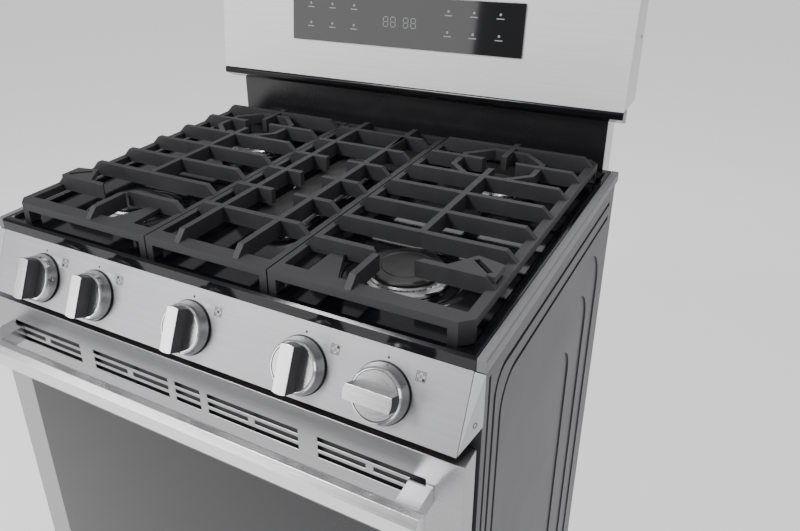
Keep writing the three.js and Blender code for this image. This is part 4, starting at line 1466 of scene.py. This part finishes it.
@dataclass
class OvenDoor:
    """The drop-down door: frame, window, liner, rope seal and handle."""

    body: str = "oven_door"
    rope: float = 0.0022
    seal_corner: float = 0.03
    screw_radius: float = 0.0038

    def build(self) -> None:
        """Models and dresses the door."""
        restyle("door_frame", STAINLESS, self.body, "stainless", 0.0009)
        restyle("door_glass", WINDOW_GLASS, self.body, "black_glass", 0.0008)
        restyle("door_liner", OVEN_ENAMEL, self.body, "dark_steel", 0.001)
        restyle("door_inner_glass", INNER_GLASS, self.body, "clear_glass", 0.0006)
        self.handle()
        self.seal()
        self.slot_shade()
        self.liner_screws()

    def handle(self) -> None:
        """The bar, with rounded edges and end posts."""
        piece = Sculpt(HANDLE_STEEL).from_node("door_handle", 0.0026, 3, 12.0)
        piece.ready("door_handle_skin", self.body, "stainless", "door_handle", smooth=40.0)

    def seal(self) -> None:
        """The rope that seals the oven's mouth."""
        low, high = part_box("oven_liner")
        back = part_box("door_liner")[1].y
        bottom_left, top_right = (low.x - 0.006, low.z - 0.006), (high.x + 0.006, high.z + 0.004)
        points = round_corners(bottom_left, top_right, self.seal_corner, back + self.rope * 0.9)
        hoop("door_seal", points, self.rope, ROPE, self.body)

    def slot_shade(self) -> None:
        """A dark plate behind the vent slots: painted shade that shows through them."""
        low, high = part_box("door_frame")
        piece = Sculpt(BLACK_PLASTIC)
        left, right = low.x + 0.01, high.x - 0.01
        piece.block((left, low.y + 0.0075, high.z - 0.072), (right, low.y + 0.0085, high.z - 0.022), 0.0003)
        for x in (-0.34, -0.1, 0.1, 0.34):
            near, far = low.y + 0.0022, low.y + 0.009
            piece.block((x - 0.004, near, high.z - 0.07), (x + 0.004, far, high.z - 0.066), 0.0003)
        piece.ready("slot_shade", self.body, "plastic")

    def liner_screws(self) -> None:
        """Screws along the edges of the door's liner."""
        low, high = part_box("door_liner")
        piece = Sculpt(RACK_CHROME, BLACK_PLASTIC)
        for x in (-0.345, 0.345):
            for z in (low.z + 0.06, (low.z + high.z) / 2, high.z - 0.03):
                screw(piece, Vector((x, high.y - FIT_GAP, z)), TO_WALL, self.screw_radius)
        for x in (-0.2, 0.0, 0.2):
            screw(piece, Vector((x, high.y - FIT_GAP, high.z - 0.018)), TO_WALL, self.screw_radius)
        piece.ready("door_liner_screws", self.body, "chrome")


@dataclass
class Oven:
    """The oven's inside: liner, racks, burners, fan and lamp."""

    wire: float = 0.0021
    heavy: float = 0.003
    wire_count: int = 23
    tube_ports: int = 26
    ring: Profile = ((0.0295, 0), (0.035, 0), (0.035, 0.003), (0.032, 0.005), (0.0295, 0.004))

    def build(self) -> None:
        """Models and dresses the oven."""
        restyle("oven_liner", OVEN_ENAMEL, ROOT, "oven_enamel", 0.0012)
        for name in ("lower", "upper"):
            self.rack("oven_rack_" + name)
        for name in ("bake_burner", "broil_burner"):
            self.gas_tube(name)
        restyle("fan_cover", OVEN_ENAMEL, ROOT, "oven_enamel", 0.0012)
        restyle("convection_fan", HEATED_STEEL, "fan", "dark_steel", 0.0003)
        self.lamp()

    def rack(self, node: str) -> None:
        """A wire rack: thin wires over heavy cross wires and a bent rim.

        Args:
            node: the CAD rack that it stands for.
        """
        low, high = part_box(node)
        piece = Sculpt(RACK_CHROME)
        top, under = high.z - self.wire, high.z - 2 * self.wire - self.heavy + 0.0004
        for i in range(self.wire_count):
            x = low.x + 0.012 + (high.x - low.x - 0.024) * i / (self.wire_count - 1)
            piece.rod((x, low.y + 0.002, top), (x, high.y - 0.002, top), self.wire, 8)
        middle = (low.y + high.y) / 2
        for y in (low.y + self.heavy, middle - 0.06, middle + 0.07, high.y - self.heavy):
            piece.rod((low.x + 0.002, y, under), (high.x - 0.002, y, under), self.heavy, 10)
        for x in (low.x + self.heavy, high.x - self.heavy):
            piece.rod((x, low.y + 0.001, under), (x, high.y - 0.001, under), self.heavy, 10)
        piece.ready(node + "_skin", ROOT, "chrome", node)

    def gas_tube(self, node: str) -> None:
        """A tube burner with rows of ports.

        Args:
            node: the CAD burner that it stands for.
        """
        piece = Sculpt(HEATED_STEEL, BLACK_PLASTIC).from_node(node, 0.0, 1)
        low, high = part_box(node)
        middle = (low + high) / 2
        r = (high.z - low.z) / 2
        # Ports: black blocks on the tube, painted shade standing in for the dark insides of the port holes.
        piece.coat = 1
        for x in (low.x + r + 0.0005, high.x - r - 0.0005):
            port = x + (r - 0.0016 if x > middle.x else 0.0016 - r)
            for i in range(self.tube_ports):
                y = low.y + 0.03 + (high.y - low.y - 0.12) * i / (self.tube_ports - 1)
                near = (port - 0.0006, y - 0.0012, middle.z - 0.0008)
                piece.block(near, (port + 0.001, y + 0.0012, middle.z + 0.0008))
        piece.ready(node + "_skin", ROOT, "dark_steel", node)

    def lamp(self) -> None:
        """The lamp's glass cover in a steel ring."""
        restyle("oven_lamp", LAMP_GLASS, ROOT, "lamp_glass", 0.003, segments=3)
        low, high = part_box("oven_lamp")
        middle = (low + high) / 2
        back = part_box("oven_liner")[1].y - 0.002
        piece = Sculpt(RACK_CHROME)
        place = facing(Vector((middle.x, back - FIT_GAP, middle.z)), ACROSS, TO_FRONT)
        piece.turned(self.ring, place, 40)
        piece.ready("lamp_ring", ROOT, "chrome")


@dataclass
class Drawer:
    """The storage drawer: front, box and the screws of its slides."""

    body: str = "storage_drawer"
    screw_radius: float = 0.0034

    def build(self) -> None:
        """Models and dresses the drawer."""
        restyle("drawer_front", STAINLESS, self.body, "stainless", 0.0012)
        restyle("drawer_box", INNER_STEEL, self.body, "dark_steel", 0.0006)
        low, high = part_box("drawer_box")
        piece = Sculpt(ZINC, BLACK_PLASTIC)
        for side in (-1, 1):
            x = side * (high.x - 0.0025)
            for y in (low.y + 0.12, low.y + 0.4):
                seat = Vector((x - side * 0.0008, y, low.z + 0.072))
                screw(piece, seat, Vector((side, 0, 0)), self.screw_radius)
        piece.ready("drawer_screws", self.body, "galvanised")


@dataclass
class Cabinet:
    """The side panels, chassis, back, feet and gas fittings."""

    thread_turns: int = 14
    foot_pad: Profile = (
        (0, 0),
        (0.0165, 0),
        (0.018, 0.0012),
        (0.018, 0.008),
        (0.0165, 0.0092),
        (0.009, 0.0112),
        (0, 0.0112),
    )
    thread: tuple[float, float] = (0.0058, 0.007)
    inlet_turns: int = 5
    inlet_pitch: float = 0.0022
    inlet_thread: Profile = ((0.0098, 0), (0.0109, 0.0006), (0.0098, 0.0012))

    def build(self) -> None:
        """Models and dresses the cabinet."""
        for side in ("left", "right"):
            restyle("side_panel_" + side, SIDE_GREY, ROOT, "side_paint", 0.0016, segments=3)
            restyle("door_hinge_" + side, ZINC, ROOT, "dark_steel", 0.0006)
        restyle("chassis", DARK_STEEL, ROOT, "dark_steel", 0.0006)
        restyle("back_panel", ZINC, ROOT, "galvanised", 0.0005)
        restyle("gas_manifold", BRASS, ROOT, "brass", 0.0005)
        self.gas_inlet()
        for corner in ("front_left", "front_right", "rear_left", "rear_right"):
            self.foot("levelling_foot_" + corner)
        self.back_details()

    def gas_inlet(self) -> None:
        """The inlet nipple with its hexagon and thread."""
        piece = Sculpt(BRASS).from_node("gas_inlet", 0.0006, 2)
        low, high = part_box("gas_inlet")
        middle = (low + high) / 2
        for i in range(self.inlet_turns):
            y = high.y - 0.001 - self.inlet_pitch * i
            piece.turned(self.inlet_thread, facing(Vector((middle.x, y, middle.z)), ACROSS, TO_FRONT), 28)
        piece.ready("gas_inlet_skin", ROOT, "brass", "gas_inlet")

    def foot(self, node: str) -> None:
        """A threaded rod on a round pad.

        Args:
            node: the CAD foot that it stands for.
        """
        low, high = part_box(node)
        middle = (low + high) / 2
        place = Matrix.Translation((middle.x, middle.y, 0.0))
        piece = Sculpt(BLACK_PLASTIC, ZINC)
        piece.turned(self.foot_pad, place, 40)
        piece.coat = 1
        root, crest = self.thread
        profile = [(0.0, 0.011)]
        for i in range(self.thread_turns):
            z = 0.0125 + (high.z - 0.0135) * i / self.thread_turns
            profile += [(root, z), (crest, z + 0.0012)]
        profile += [(root, high.z - 0.0004), (0.0, high.z)]
        piece.turned(profile, place, 24)
        piece.ready(node + "_skin", ROOT, "plastic", node)

    def back_details(self) -> None:
        """Screws, a cover and three raised ribs on the back panel."""
        low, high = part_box("back_panel")
        piece = Sculpt(ZINC, BLACK_PLASTIC)
        y = high.y
        for x in (-0.34, -0.12, 0.12, 0.34):
            for z in (low.z + 0.02, (low.z + high.z) / 2, high.z - 0.2):
                screw(piece, Vector((x, y - FIT_GAP, z)), TO_WALL)
        piece.slab(0.16, 0.11, 0.012, 0.008, facing(Vector((0.0, y - 0.0003, 0.42)), ACROSS, TO_WALL), 0.002)
        for i in range(3):
            z = 0.2 + 0.03 * i
            piece.block((-0.2, y - FIT_GAP, z), (0.16, y + 0.0022, z + 0.006), 0.0016)
        piece.ready("back_details", ROOT, "galvanised")


@dataclass
class Studio:
    """Floor, lights and camera. Each lamp is its name, place, size, power and gloss."""

    eye: Vector = field(default_factory=lambda: Vector((0.581, -0.8585, 1.359)))
    azimuth: float = 31.7
    elevation: float = 25.5
    roll: float = -2.0
    focal: float = 750.0
    middle: tuple[float, float] = (340.0, 228.0)
    frame_size: tuple[int, int] = (800, 531)
    floor_glow: float = 0.55
    sky: float = 0.46
    lamps: tuple[tuple[str, tuple[float, float, float], float, float, float], ...] = (
        ("key", (-1.25, -2.3, 3.0), 0.8, 95.0, 1.0),
        ("side", (2.6, -1.2, 2.0), 1.2, 10.0, 1.0),
        ("top", (0.3, 0.9, 3.3), 1.4, 45.0, 0.1),
        ("front", (-1.9, -2.9, 1.2), 1.6, 30.0, 1.0),
    )

    def build(self) -> None:
        """Sets up the studio."""
        self.floor()
        self.lights()
        self.camera()

    def floor(self) -> None:
        """A wide pale floor."""
        shape = bmesh.new()
        bmesh.ops.create_grid(shape, x_segments=1, y_segments=1, size=9.0)
        data = bpy.data.meshes.new("floor")
        shape.to_mesh(data)
        shape.free()
        material = FLOOR_PALE.material()
        surface = material.node_tree.nodes["Principled BSDF"]
        surface.inputs["Emission Color"].default_value = (1.0, 1.0, 1.0, 1.0)
        surface.inputs["Emission Strength"].default_value = self.floor_glow
        data.materials.append(material)
        made = bpy.data.objects.new("floor", data)
        bpy.context.scene.collection.objects.link(made)

    def lights(self) -> None:
        """A bright even world and four large soft lamps."""
        world = bpy.data.worlds.new("studio")
        bpy.context.scene.world = world
        world.use_nodes = True
        sky = world.node_tree.nodes["Background"]
        sky.inputs["Color"].default_value = (0.985, 0.985, 1.0, 1.0)
        sky.inputs["Strength"].default_value = self.sky
        for name, where, size, power, gloss in self.lamps:
            lamp = bpy.data.lights.new(name, "AREA")
            lamp.size = size
            lamp.energy = power
            lamp.specular_factor = gloss
            holder = bpy.data.objects.new(name, lamp)
            bpy.context.scene.collection.objects.link(holder)
            holder.location = where
            aim = Vector((0, 0, 0.9)) - Vector(where)
            holder.rotation_euler = aim.to_track_quat("-Z", "Y").to_euler()

    def camera(self) -> None:
        """The camera, in front of the range's right side and above it."""
        data = bpy.data.cameras.new("camera")
        width = self.frame_size[0]
        data.sensor_width = 36.0
        data.lens = self.focal / width * data.sensor_width
        data.shift_x = (width / 2 - self.middle[0]) / width
        data.shift_y = (self.middle[1] - self.frame_size[1] / 2) / width
        made = bpy.data.objects.new("camera", data)
        bpy.context.scene.collection.objects.link(made)
        az, el, roll = (math.radians(v) for v in (self.azimuth, self.elevation, self.roll))
        back = Vector((math.sin(az) * math.cos(el), -math.cos(az) * math.cos(el), math.sin(el)))
        right = UPWARD.cross(back).normalized()
        up = back.cross(right)
        turned_right = right * math.cos(roll) + up * math.sin(roll)
        turned_up = up * math.cos(roll) - right * math.sin(roll)
        turn = Matrix((turned_right, turned_up, back)).transposed().to_4x4()
        made.matrix_world = Matrix.Translation(self.eye) @ turn
        bpy.context.scene.camera = made


def main() -> None:
    """Builds every sub-assembly in order."""
    front = (Backguard(), Cooktop(), Grates(), ControlPanel(), OvenDoor())
    for part in (Studio(), *front, Oven(), Drawer(), Cabinet()):
        part.build()
        log.info("built %s", type(part).__name__)


if __name__ == "__main__":
    main()
